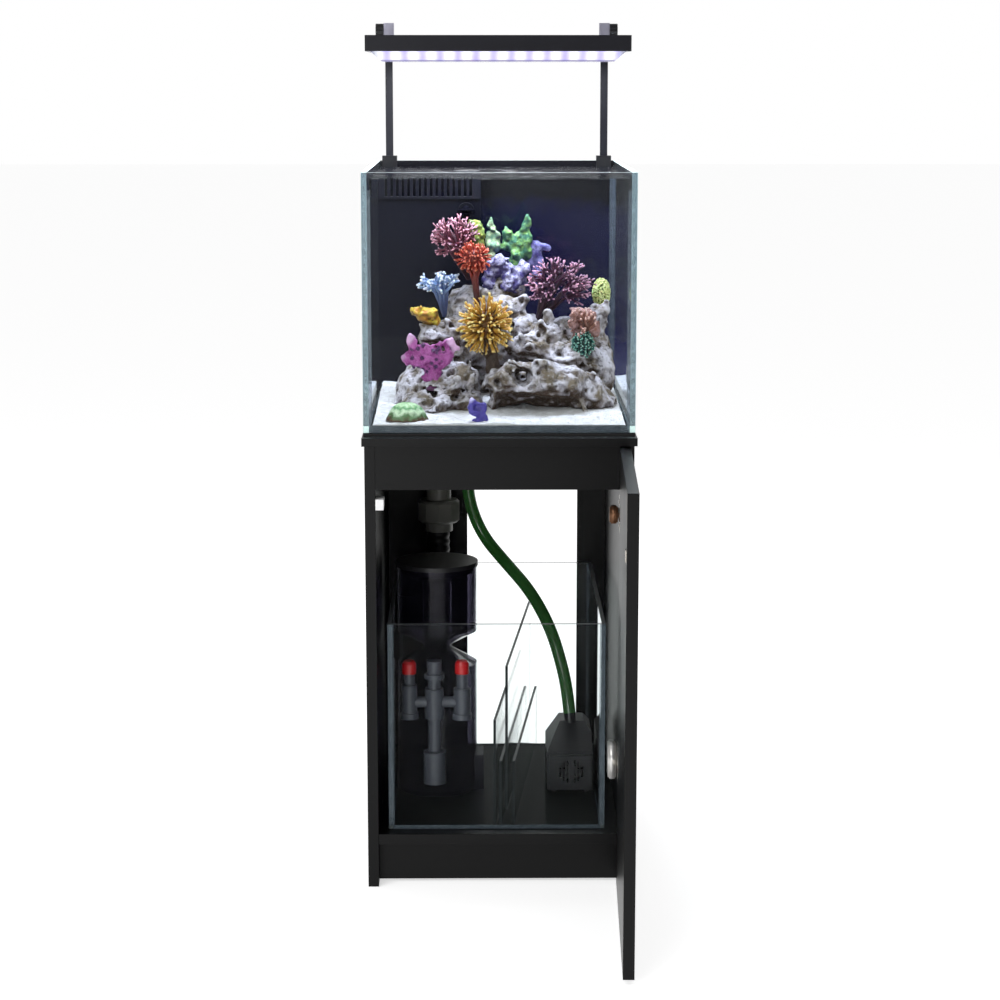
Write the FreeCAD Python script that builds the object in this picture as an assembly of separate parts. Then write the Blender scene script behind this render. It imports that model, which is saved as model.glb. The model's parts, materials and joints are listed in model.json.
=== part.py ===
"""Reef aquarium on a cabinet stand: glass tank, LED lamp on two posts, cabinet with one
open door, and the glass sump with its protein skimmer, return pump and plumbing.

Frame: millimetres, +Z up, +X to the right of someone facing the door, +Y to the back.
The origin is on the floor, at the centre of the cabinet's footprint.
"""
import FreeCAD, Part
import math
import os

V = FreeCAD.Vector

# ---------------------------------------------------------------- driving dimensions
TANK_W = 400.0            # outside width of the tank
TANK_D = 510.0            # outside depth of the tank
TANK_H = 380.0            # outside height of the glass
TANK_GLASS = 8.0          # tank walls
TANK_FLOOR = 10.0         # tank bottom pane
MAT_T = 4.0               # foam under the tank
STAND_H = 696.0           # floor to the underside of the tank, foam included

BOARD = 16.0              # cabinet board
TOP_T = 12.0              # top board
SIDE_SETBACK = 1.0        # cabinet sides stand in from the tank's width
TOP_SIDE_LIP = 2.0        # top board beyond the tank at each side
TOP_FRONT_LIP = 22.0      # top board beyond the tank at the front, over the door
PLINTH_H = 66.0           # underside of the shelf
PLINTH_RECESS = 25.0
PLINTH_FLOOR_GAP = 4.0
FASCIA_H = 68.0
BACK_OPEN_LEFT = 133.0    # inner left side to the open strip in the back
BACK_OPEN_W = 186.0       # width of the open strip

DOOR_SIDE_LAP = 15.0      # how far the door covers each side's edge
DOOR_FLOOR_GAP = 8.0
DOOR_TOP_GAP = 3.0
DOOR_OPEN_DEG = 88.0      # the door stands open by this much at rest
PIN_FROM_EDGE = 10.0      # hinge pin to the door's hinge edge
PIN_DEPTH = 11.2          # hinge pin to the door's inner face
PIN_R = 1.5
PIN_PLAY = 0.05           # radial play of the arm's eye on its pin
EYE_R = 2.8
SWING_PLAY = 0.7          # the door's corner clears the side panel by this as it turns
CUP_R = 17.5
CUP_WALL = 5.0            # board left between cup and door edge
CUP_DEPTH = 13.2
ARM_H = 10.0              # height of a hinge arm
ARM_SLOT_PLAY = 1.0
ARM_T = 3.0
ARM_ANGLE = 125.0         # direction of the arm's nose as it leaves the pin
ARM_LEN = 62.0
HINGE_FROM_BOTTOM = 182.0
HINGE_FROM_TOP = 108.0
PLATE_L = 44.0
PLATE_H = 52.0
PLATE_T = 2.5
SCREW_HEAD_R = 3.6
SCREW_HEAD_T = 1.6
SCREW_R = 1.8
SCREW_L = 11.0
CATCH_W = 12.0
CATCH_L = 34.0
CATCH_R = 1.5
CATCH_H = 16.0
STRIKE_T = 1.5
STRIKE_PLAY = 0.5

SUMP_LEFT_GAP = 15.0      # cabinet side to sump
SUMP_RIGHT_GAP = 23.0
SUMP_FRONT_GAP = 23.0     # cabinet front edge to the sump
SUMP_BACK_GAP = 11.0      # sump to the back panels
SUMP_H = 321.0
SUMP_GLASS = 6.0
SEAM = 0.8                # silicone joint between two panes
BEAD = 5.0                # inner corner bead of the tank
BEAD_STOP = 26.0          # the beads stop this far below the rim
SUMP_BEAD = 2.5
BAFFLE_T = 4.0
BAFFLE_SKEW = 44.0        # the back end of each baffle is this far to the right of its front
BAFFLES = [               # distance from the sump's left face, lift off its floor, height of top
    (161.0, 0.0, 165.0),
    (170.0, 0.0, 101.0),
    (179.0, 25.0, 249.0),
    (190.0, 0.0, 101.0)]

BOX_W = 166.0             # overflow box, along the back glass from the left side
BOX_D = 94.0
BOX_WALL = 4.0
BOX_BELOW_RIM = 12.0
COMB_H = 42.0
COMB_PITCH = 9.0
COMB_SLOT = 4.5
COMB_T = 3.0
COMB_BAR = 12.0           # solid strip along the comb's top
DRAIN_FROM_SIDE = 95.0    # drain's centre to the inside of the left glass
RETURN_FROM_SIDE = 142.0
PIPES_FROM_BACK = 57.0    # pipe centres to the inside of the back glass
CUTOUT_MARGIN = 7.0

DRAIN_BORE = 13.0
DRAIN_PIPE_R = 16.0
DRAIN_THREAD_R = 20.0
DRAIN_FLANGE_R = 25.5
RETURN_BORE = 7.0
RETURN_PIPE_R = 10.0
RETURN_THREAD_R = 13.0
RETURN_FLANGE_R = 20.0
FLANGE_T = 5.0
NUT_T = 12.0
HOLE_PLAY = 0.8
GLUE_GAP = 0.1
DRAIN_TAIL_DROP = 40.0    # drain bulkhead's tail below the top board
SOCKET_L = 28.0
UNION_DROP = 161.0        # union nut's top below the top board
UNION_NUT_R = 35.5
UNION_NUT_H = 38.0
UNION_NUT_FACETS = 10
UNION_NUT_CHAMFER = 5.0
UNION_COLLAR_R = 20.5
UNION_COLLAR_H = 41.0
UNION_TAIL_R = 23.0
UNION_TAIL_H = 15.0
UNION_BORE_PLAY = 0.5
DRAIN_HOSE_R = 18.5
DRAIN_HOSE_RIB = 1.5
DRAIN_HOSE_PITCH = 12.0
DRAIN_HOSE_FOOT = 44.0    # hose end above the sump floor
STANDPIPE_TOP_DROP = 70.0
STANDPIPE_SLOTS = 3
STANDPIPE_SLOT_H = 10.0
STANDPIPE_SLOT_W = 6.0
RETURN_TAIL_L = 20.0
NOZZLE_DROP = 76.0        # nozzle's axis below the rim
SOCKET_R = 13.0
BALL_R = 10.0
BALL_PLAY = 0.3
NOZZLE_L = 40.0
ELBOW_R = 13.0            # fitting where the return line turns to the nozzle
SOCKET_GAP = 6.0          # comb's face to the nozzle's ball socket
ARM_BORE = 6.5
NOZZLE_MOUTH_W = 28.0
NOZZLE_MOUTH_H = 7.0

HOSE_R = 10.0
HOSE_POINTS = [
    (-50.0, 190.0, 625.0), (-50.0, 190.0, 570.0), (-46.5, 192.0, 512.0),
    (-24.0, 187.0, 457.0), (15.0, 163.0, 415.0), (55.0, 124.0, 376.0),
    (87.0, 80.0, 324.0), (105.0, 45.0, 268.0), (113.0, 26.0, 228.0), (116.0, 19.0, 197.0)]

PUMP_RIGHT_GAP = 10.0     # sump's right face to the pump
PUMP_W = 72.0
PUMP_FROM_FRONT = 172.0   # sump's front face to the pump
PUMP_L = 122.0
PUMP_FRONT_H = 66.0
PUMP_BACK_H = 98.0
PUMP_SHOULDER = 22.0
PUMP_FEET = 4.0
PUMP_FOOT_R = 6.0
PUMP_FOOT_INSET = 10.0
ROTOR_FROM_LEFT = 38.0
ROTOR_H = 36.0            # rotor axis above the sump floor
ROTOR_R = 20.0
ROTOR_PLAY = 2.0
ROTOR_DEPTH = 40.0
SHAFT_R = 1.5
ROTOR_BLADES = 6
PUMP_COVER_T = 6.0
GRILLE_SLOTS = 7
GRILLE_SLOT_W = 3.2
PUMP_BARB_R = 9.5
PUMP_BARB_L = 28.0
OUTLET_FROM_LEFT = 38.0   # tip of the barb, from the pump's left, front and foot
OUTLET_FROM_FRONT = 79.0
OUTLET_UP = 109.0

SKIM_FROM_LEFT = 71.0     # sump's left face to the skimmer's axis
SKIM_FROM_FRONT = 212.0
SKIM_R = 63.0
SKIM_WALL = 3.0
SKIM_BODY_H = 206.0
SKIM_CONE_H = 26.0
SKIM_PUMP_L = 50.0
SKIM_PUMP_H = 58.0
SKIM_PUMP_OUT = 11.0      # pump box beyond the body
NECK_R = 19.0
NECK_H = 16.0
SLEEVE_PLAY = 0.4
SLEEVE_LIFT = 1.0         # cup's sleeve above the cone
CUP_FLOOR_UP = 3.0        # these four are heights above the neck's foot
CUP_WALL_UP = 26.0
RISER_TOP_UP = 104.0
CUP_TOP_UP = 131.0
LID_T = 7.0
LID_LIP = 2.0
LID_SPIGOT = 9.0
MANIFOLD_FROM_SKIM = 39.0 # pipework's plane to the skimmer's wall
MANIFOLD_FOOT = 36.0      # its foot above the sump floor
MANIFOLD_H = 196.0
MANIFOLD_MID = -3.0       # risers, from the skimmer's axis
MANIFOLD_LEFT = -42.0
MANIFOLD_RIGHT = 40.0
PORT_UP = 26.0
CROSS_UP = 130.0
MANIFOLD_PIPE_R = 10.0
MANIFOLD_CROSS_R = 8.5
MANIFOLD_SLEEVES = [      # middle riser's sleeves and collars: from, to, radius
    (0.0, 51.0, 17.5),
    (50.0, 176.0, MANIFOLD_PIPE_R),
    (104.0, 152.0, 14.5),
    (168.0, 175.0, 15.5),
    (175.0, MANIFOLD_H, 11.5)]
SIDE_SLEEVES = [          # side risers' sleeves: from the skimmer's axis, from, to, radius
    (MANIFOLD_LEFT, 104.0, 158.0, 12.0),
    (MANIFOLD_RIGHT, 103.0, 152.0, 13.0)]
SLEEVE_FOOT_H = 9.0
SLEEVE_FOOT_OUT = 2.0
CAP_R = 11.0
CAP_H = 20.0
CAP_CHAMFER_H = 5.0
CAP_CHAMFER = 3.0

LAMP_OVER = 3.0           # lamp wider than the tank
LAMP_D = 200.0
LAMP_FROM_BACK = 115.0    # lamp's rear edge to the back of the tank
LAMP_ABOVE_RIM = 174.0
LAMP_T = 24.0
LAMP_SHELL = 2.5
LAMP_CORNER_R = 3.0
LENS_DROP = 15.0
LENS_TOP_INSET = 8.0
LENS_SLOPE = 17.0
LENS_WALL = 3.0
LED_BOARD_T = 1.6
LED_BOARD_INSET = 12.0
POST_FROM_SIDE = 23.5     # post's centre to the tank's side
POST_W = 12.0
POST_T = 6.0
POST_SEAT = 2.0           # post's foot above the glass, in its clamp
POST_OVER_LAMP = 46.0     # post's top above the lamp's underside
CLAMP_W = 24.0
CLAMP_WALL = 6.0
CLAMP_DROP = 22.0
CLAMP_BRIDGE = 8.0
COLLAR_WALL = 2.2
COLLAR_PLAY = 0.2
COLLAR_FOOT = 2.0
COLLAR_H = 46.5
ARM_BAR_W = 16.0
ARM_BAR_T = 8.0
ARM_BAR_UP = 6.0
KNOB_R = 10.5
KNOB_T = 12.5
KNOB_UP = 37.0            # knob's axis above the lamp's underside
KNOB_STUD_R = 2.5
KNOB_FACE_GAP = 0.3
KNOB_TIP_GAP = 0.1
KNOB_FLUTES = 10
KNOB_FLUTE_R = 1.4

REEF_HALF_W = 192.0       # half width and depth of water that the reef's list is for
REEF_FROM_GLASS = 247.0
REEF_TO_NOZZLE = 94.0
SAND_H = 14.0
SAND_GLASS_GAP = 6.0

# ---------------------------------------------------------------- derived planes
FRONT = -TANK_D / 2
BACK = TANK_D / 2
HALF_W = TANK_W / 2
SIDE_OUT = HALF_W - SIDE_SETBACK
SIDE_IN = SIDE_OUT - BOARD
MAT_Z = STAND_H - MAT_T
TOP_Z = MAT_Z - TOP_T
SHELF_Z = PLINTH_H + BOARD
BACK_IN = BACK - BOARD
OPEN_X0 = -SIDE_IN + BACK_OPEN_LEFT
OPEN_X1 = OPEN_X0 + BACK_OPEN_W

DOOR_GAP = math.hypot(PIN_FROM_EDGE, PIN_DEPTH) - PIN_DEPTH + SWING_PLAY
DOOR_IN = FRONT - DOOR_GAP
DOOR_EDGE = SIDE_IN + DOOR_SIDE_LAP
DOOR_Z0 = DOOR_FLOOR_GAP
DOOR_Z1 = TOP_Z - DOOR_TOP_GAP
PIN_X = DOOR_EDGE - PIN_FROM_EDGE
PIN_Y = DOOR_IN - PIN_DEPTH
HINGE_ZS = (DOOR_Z0 + HINGE_FROM_BOTTOM, DOOR_Z1 - HINGE_FROM_TOP)

INNER_X = HALF_W - TANK_GLASS
INNER_Y = BACK - TANK_GLASS
TANK_FLOOR_Z = STAND_H + TANK_FLOOR
RIM_Z = STAND_H + TANK_H
PIPE_Y = INNER_Y - PIPES_FROM_BACK
BOX_X1 = -INNER_X + BOX_W
BOX_Y0 = INNER_Y - BOX_D
BOX_TOP = RIM_Z - BOX_BELOW_RIM

DRAIN_X = -INNER_X + DRAIN_FROM_SIDE
RETURN_X = -INNER_X + RETURN_FROM_SIDE
DRAIN_TAIL_Z = TOP_Z - DRAIN_TAIL_DROP
UNION_TOP_Z = TOP_Z - UNION_DROP
UNION_FOOT_Z = UNION_TOP_Z - UNION_NUT_H
UNION_TAIL_Z = UNION_FOOT_Z - UNION_TAIL_H
NOZZLE_Z = RIM_Z - NOZZLE_DROP
NOZZLE_MOUTH_Y = BOX_Y0 - COMB_T - SOCKET_GAP
NOZZLE_TIP_Y = NOZZLE_MOUTH_Y - BALL_R - NOZZLE_L

SUMP_X0 = -SIDE_IN + SUMP_LEFT_GAP
SUMP_X1 = SIDE_IN - SUMP_RIGHT_GAP
SUMP_Y0 = FRONT + SUMP_FRONT_GAP
SUMP_Y1 = BACK_IN - SUMP_BACK_GAP
SUMP_FLOOR_Z = SHELF_Z + SUMP_GLASS
SUMP_TOP = SHELF_Z + SUMP_H

SKIM_X = SUMP_X0 + SKIM_FROM_LEFT
SKIM_Y = SUMP_Y0 + SKIM_FROM_FRONT
SKIM_SHOULDER_Z = SUMP_FLOOR_Z + SKIM_BODY_H
SKIM_NECK_Z = SKIM_SHOULDER_Z + SKIM_CONE_H
SLEEVE_IN = NECK_R + SLEEVE_PLAY
CUP_TOP_Z = SKIM_NECK_Z + CUP_TOP_UP

LAMP_X = HALF_W + LAMP_OVER / 2
LAMP_BACK = BACK - LAMP_FROM_BACK
LAMP_FRONT = LAMP_BACK - LAMP_D
LAMP_Z = RIM_Z + LAMP_ABOVE_RIM
POST_X = HALF_W - POST_FROM_SIDE
POST_Y = BACK - TANK_GLASS / 2
KNOB_Z = LAMP_Z + KNOB_UP


# ---------------------------------------------------------------- building blocks
def box(x0, x1, y0, y1, z0, z1):
    return Part.makeBox(x1 - x0, y1 - y0, z1 - z0, V(x0, y0, z0))


def rod(x, y, z0, z1, r):
    return Part.makeCylinder(r, z1 - z0, V(x, y, z0))


def pipe(x, y, z0, z1, r_out, r_in):
    return rod(x, y, z0, z1, r_out).cut(rod(x, y, z0, z1, r_in))


def rod_x(x0, x1, y, z, r):
    return Part.makeCylinder(r, x1 - x0, V(x0, y, z), V(1, 0, 0))


def rod_y(x, y0, y1, z, r):
    return Part.makeCylinder(r, y1 - y0, V(x, y0, z), V(0, 1, 0))


def prism(points, sweep):
    """Closed polygon through the points, swept along a vector."""
    wire = Part.makePolygon(points + [points[0]])
    return Part.Face(wire).extrude(sweep)


def turned(profile, x, y):
    """Solid of revolution about a vertical axis, from (radius, height) pairs."""
    points = [V(x + r, y, z) for r, z in profile]
    wire = Part.makePolygon(points + [points[0]])
    return Part.Face(wire).revolve(V(x, y, 0), V(0, 0, 1), 360)


def polygon_prism(x, y, z0, z1, r, sides):
    step = 2 * math.pi / sides
    points = [V(x + r * math.cos(step * (i + 0.5)), y + r * math.sin(step * (i + 0.5)), z0)
              for i in range(sides)]
    return prism(points, V(0, 0, z1 - z0))


def ring_level(x, y, z, rx, ry, sides=8):
    step = 2 * math.pi / sides
    points = [V(x + rx * math.cos(step * i), y + ry * math.sin(step * i), z) for i in range(sides)]
    return Part.makePolygon(points + [points[0]])


def boulder(x, y, rx, ry, z0, z1, foot=0.8, crown=0.5, belly=0.5):
    """Rough lump with flat facets: a foot, a belly and a crown level."""
    z_mid = z0 + belly * (z1 - z0)
    levels = [ring_level(x, y, z0, foot * rx, foot * ry),
              ring_level(x, y, z_mid, rx, ry),
              ring_level(x, y, z1, crown * rx, crown * ry)]
    return Part.makeLoft(levels, True, True)


def fused(solids):
    result = solids[0]
    for solid in solids[1:]:
        result = result.fuse(solid)
    return result.removeSplitter()


def save(name, *shapes):
    solids = []
    for shape in shapes:
        solids.extend(shape.Solids)
    shape = solids[0] if len(solids) == 1 else Part.makeCompound(solids)
    shape.exportStep(os.path.join("parts", name + ".step"))
    volume = sum(s.Volume for s in solids)
    print("%-24s %2d solid(s) %10.1f cm3 valid %s" % (name, len(solids), volume / 1000.0,
                                                     all(s.isValid() for s in solids)))


# ---------------------------------------------------------------- cabinet
def cabinet_boards():
    save("side_panel_left", box(-SIDE_OUT, -SIDE_IN, FRONT, BACK, 0, TOP_Z))
    top = box(-HALF_W - TOP_SIDE_LIP, HALF_W + TOP_SIDE_LIP, FRONT - TOP_FRONT_LIP, BACK,
              TOP_Z, MAT_Z)
    mat = box(-HALF_W, HALF_W, FRONT, BACK, MAT_Z, STAND_H)
    reach = DRAIN_FLANGE_R + CUTOUT_MARGIN
    cutout = box(DRAIN_X - reach, RETURN_X + RETURN_FLANGE_R + CUTOUT_MARGIN,
                 PIPE_Y - reach, PIPE_Y + reach, TOP_Z, STAND_H)
    save("top_board", top.cut(cutout))
    save("foam_mat", mat.cut(cutout))
    save("base_shelf", box(-SIDE_IN, SIDE_IN, FRONT + 2, BACK_IN, PLINTH_H, SHELF_Z))
    rail_y0 = FRONT + PLINTH_RECESS
    rail_y1 = BACK_IN - BOARD
    save("plinth_rails",
         box(-SIDE_IN, SIDE_IN, rail_y0, rail_y0 + BOARD, PLINTH_FLOOR_GAP, PLINTH_H),
         box(-SIDE_IN, SIDE_IN, rail_y1, BACK_IN, PLINTH_FLOOR_GAP, PLINTH_H))
    save("shelf_bearer", box(-BOARD / 2, BOARD / 2, rail_y0 + BOARD, rail_y1, 0, PLINTH_H))
    save("fascia_rail", box(-SIDE_IN, SIDE_IN, FRONT, FRONT + BOARD, TOP_Z - FASCIA_H, TOP_Z))
    save("back_panels",
         box(-SIDE_IN, OPEN_X0, BACK_IN, BACK, PLINTH_FLOOR_GAP, TOP_Z),
         box(OPEN_X1, SIDE_IN, BACK_IN, BACK, PLINTH_FLOOR_GAP, TOP_Z))


def catch_z():
    return TOP_Z - FASCIA_H - CATCH_H - 14.0


def door_catch():
    front = DOOR_IN + STRIKE_T + STRIKE_PLAY
    z0 = catch_z()
    body = box(-SIDE_IN, -SIDE_IN + CATCH_W, front, front + CATCH_L, z0, z0 + CATCH_H)
    body = body.makeFillet(CATCH_R, [e for e in body.Edges if e.tangentAt(e.FirstParameter).y ** 2 > 0.9
                                 and e.CenterOfMass.x > -SIDE_IN + 1])
    save("door_catch", body)


# ---------------------------------------------------------------- door and its hinges
def opened(shape):
    """Turns a door piece from its closed place to the open place that it rests in."""
    shape.rotate(V(PIN_X, PIN_Y, 0), V(0, 0, 1), DOOR_OPEN_DEG)
    return shape


def cup_centre_x():
    return DOOR_EDGE - CUP_WALL - CUP_R


def arm_slot(z, depth, x0):
    half = ARM_H / 2 + ARM_SLOT_PLAY
    return box(x0, DOOR_EDGE, DOOR_IN - depth, DOOR_IN, z - half, z + half)


def door():
    panel = box(-DOOR_EDGE, DOOR_EDGE, DOOR_IN - BOARD, DOOR_IN, DOOR_Z0, DOOR_Z1)
    slot_depth = PIN_DEPTH + EYE_R + 0.4
    slot_x0 = cup_centre_x() - CUP_R / 2
    cups = []
    pins = []
    for z in HINGE_ZS:
        bore = rod_y(cup_centre_x(), DOOR_IN - CUP_DEPTH, DOOR_IN, z, CUP_R)
        slot = arm_slot(z, slot_depth, slot_x0)
        pin = rod(PIN_X, PIN_Y, z - ARM_H, z + ARM_H, PIN_R)
        panel = panel.cut(bore).cut(slot)
        cups.append(opened(bore.cut(slot).cut(pin)))
        pins.append(opened(pin))
    save("door_panel", opened(panel))
    save("hinge_cups", *cups)
    save("hinge_pins", *pins)
    z0 = catch_z()
    plate = box(-SIDE_IN, -SIDE_IN + CATCH_W, DOOR_IN, DOOR_IN + STRIKE_T, z0, z0 + CATCH_H)
    save("catch_plate", opened(plate))


def hinge_arm(z):
    """Cranked arm: an eye on the pin, a nose into the cabinet, a bar along the side."""
    nose = V(math.cos(math.radians(ARM_ANGLE)), math.sin(math.radians(ARM_ANGLE)), 0)
    across = V(-nose.y, nose.x, 0) * (ARM_T / 2)
    pin = V(PIN_X, PIN_Y, z - ARM_H / 2)
    bar_x = SIDE_IN - PLATE_T - ARM_T / 2
    reach = (pin.x - bar_x) / -nose.x
    knee = pin + nose * reach
    up = V(0, 0, ARM_H)
    nose_bar = prism([pin - across, pin + across, knee + across, knee - across], up)
    bend = rod(knee.x, knee.y, knee.z, knee.z + ARM_H, ARM_T / 2)
    bar = box(bar_x - ARM_T / 2, bar_x + ARM_T / 2, knee.y, knee.y + ARM_LEN,
              knee.z, knee.z + ARM_H)
    eye = rod(PIN_X, PIN_Y, pin.z, pin.z + ARM_H, EYE_R)
    bore = rod(PIN_X, PIN_Y, pin.z, pin.z + ARM_H, PIN_R + PIN_PLAY)
    return fused([nose_bar, bend, bar, eye]).cut(bore), knee.y


def cabinet_hinges():
    arms = []
    plates = []
    screws = []
    for z in HINGE_ZS:
        arm, knee_y = hinge_arm(z)
        arms.append(arm)
        y0 = knee_y + (ARM_LEN - PLATE_L)
        plate = box(SIDE_IN - PLATE_T, SIDE_IN, y0, y0 + PLATE_L, z - PLATE_H / 2, z + PLATE_H / 2)
        for dz in (-1, 1):
            screw_z = z + dz * (PLATE_H / 2 - 2 * SCREW_HEAD_R)
            screw_y = y0 + PLATE_L / 2
            shank = rod_x(SIDE_IN - PLATE_T, SIDE_IN - PLATE_T + SCREW_L, screw_y, screw_z, SCREW_R)
            head = rod_x(SIDE_IN - PLATE_T - SCREW_HEAD_T, SIDE_IN - PLATE_T, screw_y, screw_z,
                         SCREW_HEAD_R)
            plate = plate.cut(shank)
            screws.append((fused([head, shank]), shank))
        plates.append(plate)
    save("hinge_arms", *arms)
    save("hinge_plates", *plates)
    save("hinge_screws", *[screw for screw, shank in screws])
    side = box(SIDE_IN, SIDE_OUT, FRONT, BACK, 0, TOP_Z)
    for screw, shank in screws:
        side = side.cut(shank)
    save("side_panel_right", side)


# ---------------------------------------------------------------- tank
def tank():
    top = RIM_Z
    side_y = INNER_Y - SEAM
    save("tank_front", box(-HALF_W, HALF_W, FRONT, FRONT + TANK_GLASS, STAND_H, top))
    save("tank_back", box(-HALF_W, HALF_W, BACK - TANK_GLASS, BACK, STAND_H, top))
    save("tank_side_left", box(-HALF_W, -INNER_X, -side_y, side_y, STAND_H, top))
    save("tank_side_right", box(INNER_X, HALF_W, -side_y, side_y, STAND_H, top))
    floor = box(-INNER_X + SEAM, INNER_X - SEAM, -side_y, side_y, STAND_H, TANK_FLOOR_Z)
    for x, r in ((DRAIN_X, DRAIN_THREAD_R), (RETURN_X, RETURN_THREAD_R)):
        floor = floor.cut(rod(x, PIPE_Y, STAND_H, TANK_FLOOR_Z, r + HOLE_PLAY))
    save("tank_bottom", floor)


def corner_seam(x_in, x_out, y_pane, y_gap, z0, z1, bead, stop):
    """Silicone between a side pane and an end pane, with its three-cornered inner bead."""
    sx = 1 if x_out > x_in else -1
    sy = 1 if y_pane > y_gap else -1
    joint = box(min(x_in, x_out), max(x_in, x_out), min(y_gap, y_pane), max(y_gap, y_pane), z0, z1)
    corner = V(x_in, y_pane, z0)
    wedge = prism([corner, corner + V(-sx * bead, 0, 0), corner + V(0, -sy * bead, 0)],
                  V(0, 0, z1 - stop - z0))
    return fused([joint, wedge])


def seams():
    """Silicone of the tank and the sump: four upright joints and the bottom joint of each."""
    pieces = []
    side_y = INNER_Y - SEAM
    for sx in (-1, 1):
        for sy in (-1, 1):
            pieces.append(corner_seam(sx * INNER_X, sx * HALF_W, sy * INNER_Y, sy * side_y,
                                      TANK_FLOOR_Z, RIM_Z, BEAD, BEAD_STOP))
    ring = box(-INNER_X, INNER_X, -INNER_Y, INNER_Y, STAND_H, TANK_FLOOR_Z)
    pieces.append(ring.cut(box(-INNER_X + SEAM, INNER_X - SEAM, -side_y, side_y,
                               STAND_H, TANK_FLOOR_Z)))
    x0, x1 = SUMP_X0 + SUMP_GLASS, SUMP_X1 - SUMP_GLASS
    y0, y1 = SUMP_Y0 + SUMP_GLASS, SUMP_Y1 - SUMP_GLASS
    for x_in, x_out in ((x0, SUMP_X0), (x1, SUMP_X1)):
        for y_pane, y_gap in ((y0, y0 + SEAM), (y1, y1 - SEAM)):
            pieces.append(corner_seam(x_in, x_out, y_pane, y_gap, SUMP_FLOOR_Z, SUMP_TOP,
                                      SUMP_BEAD, 0))
    ring = box(x0, x1, y0, y1, SHELF_Z, SUMP_FLOOR_Z)
    pieces.append(ring.cut(box(x0 + SEAM, x1 - SEAM, y0 + SEAM, y1 - SEAM,
                               SHELF_Z, SUMP_FLOOR_Z)))
    save("silicone_seams", *pieces)


def overflow():
    wall = box(-INNER_X, BOX_X1, BOX_Y0, BOX_Y0 + BOX_WALL, TANK_FLOOR_Z, BOX_TOP)
    end = box(BOX_X1 - BOX_WALL, BOX_X1, BOX_Y0, INNER_Y, TANK_FLOOR_Z, BOX_TOP)
    notch = box(-INNER_X + BOX_WALL, BOX_X1 - 2 * BOX_WALL, BOX_Y0, BOX_Y0 + BOX_WALL,
                BOX_TOP - COMB_H, BOX_TOP)
    pipe_hole = rod_y(RETURN_X, BOX_Y0, BOX_Y0 + BOX_WALL, NOZZLE_Z, RETURN_PIPE_R + HOLE_PLAY)
    save("overflow_box", fused([wall, end]).cut(notch).cut(pipe_hole))
    x0 = -INNER_X + 2 * BOX_WALL
    x1 = BOX_X1 - 3 * BOX_WALL
    comb_y = BOX_Y0 - COMB_T
    comb = box(-INNER_X + 1, BOX_X1 - 1, comb_y, BOX_Y0, BOX_TOP - COMB_H - BOX_WALL, BOX_TOP)
    count = int((x1 - x0) / COMB_PITCH)
    for i in range(count):
        slot_x = x0 + (i + 0.5) * (x1 - x0) / count
        comb = comb.cut(box(slot_x - COMB_SLOT / 2, slot_x + COMB_SLOT / 2, comb_y, BOX_Y0,
                            BOX_TOP - COMB_H, BOX_TOP - COMB_BAR))
    save("overflow_comb", comb)


def bulkhead(x, thread_r, flange_r, bore, tail_z):
    flange = rod(x, PIPE_Y, TANK_FLOOR_Z, TANK_FLOOR_Z + FLANGE_T, flange_r)
    thread = rod(x, PIPE_Y, tail_z, TANK_FLOOR_Z, thread_r)
    through = rod(x, PIPE_Y, tail_z, TANK_FLOOR_Z + FLANGE_T, bore)
    nut = polygon_prism(x, PIPE_Y, STAND_H - NUT_T, STAND_H, flange_r, 8)
    nut = nut.cut(rod(x, PIPE_Y, STAND_H - NUT_T, STAND_H, thread_r))
    return fused([flange, thread]).cut(through), nut


def drain():
    body, nut = bulkhead(DRAIN_X, DRAIN_THREAD_R, DRAIN_FLANGE_R, DRAIN_BORE, DRAIN_TAIL_Z)
    socket_top = DRAIN_TAIL_Z + SOCKET_L
    body = body.cut(rod(DRAIN_X, PIPE_Y, DRAIN_TAIL_Z, socket_top, DRAIN_PIPE_R + GLUE_GAP))
    standpipe_seat = TANK_FLOOR_Z + FLANGE_T
    save("drain_bulkhead", body, nut)
    stand_top = BOX_TOP - STANDPIPE_TOP_DROP
    standpipe = pipe(DRAIN_X, PIPE_Y, standpipe_seat, stand_top, DRAIN_PIPE_R, DRAIN_BORE)
    for i in range(STANDPIPE_SLOTS):
        slot_z = stand_top - 1.6 * STANDPIPE_SLOT_H * (i + 1)
        standpipe = standpipe.cut(box(DRAIN_X - DRAIN_PIPE_R, DRAIN_X + DRAIN_PIPE_R,
                                      PIPE_Y - STANDPIPE_SLOT_W / 2,
                                      PIPE_Y + STANDPIPE_SLOT_W / 2,
                                      slot_z, slot_z + STANDPIPE_SLOT_H))
    save("standpipe", standpipe)
    save_union(socket_top)


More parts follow.
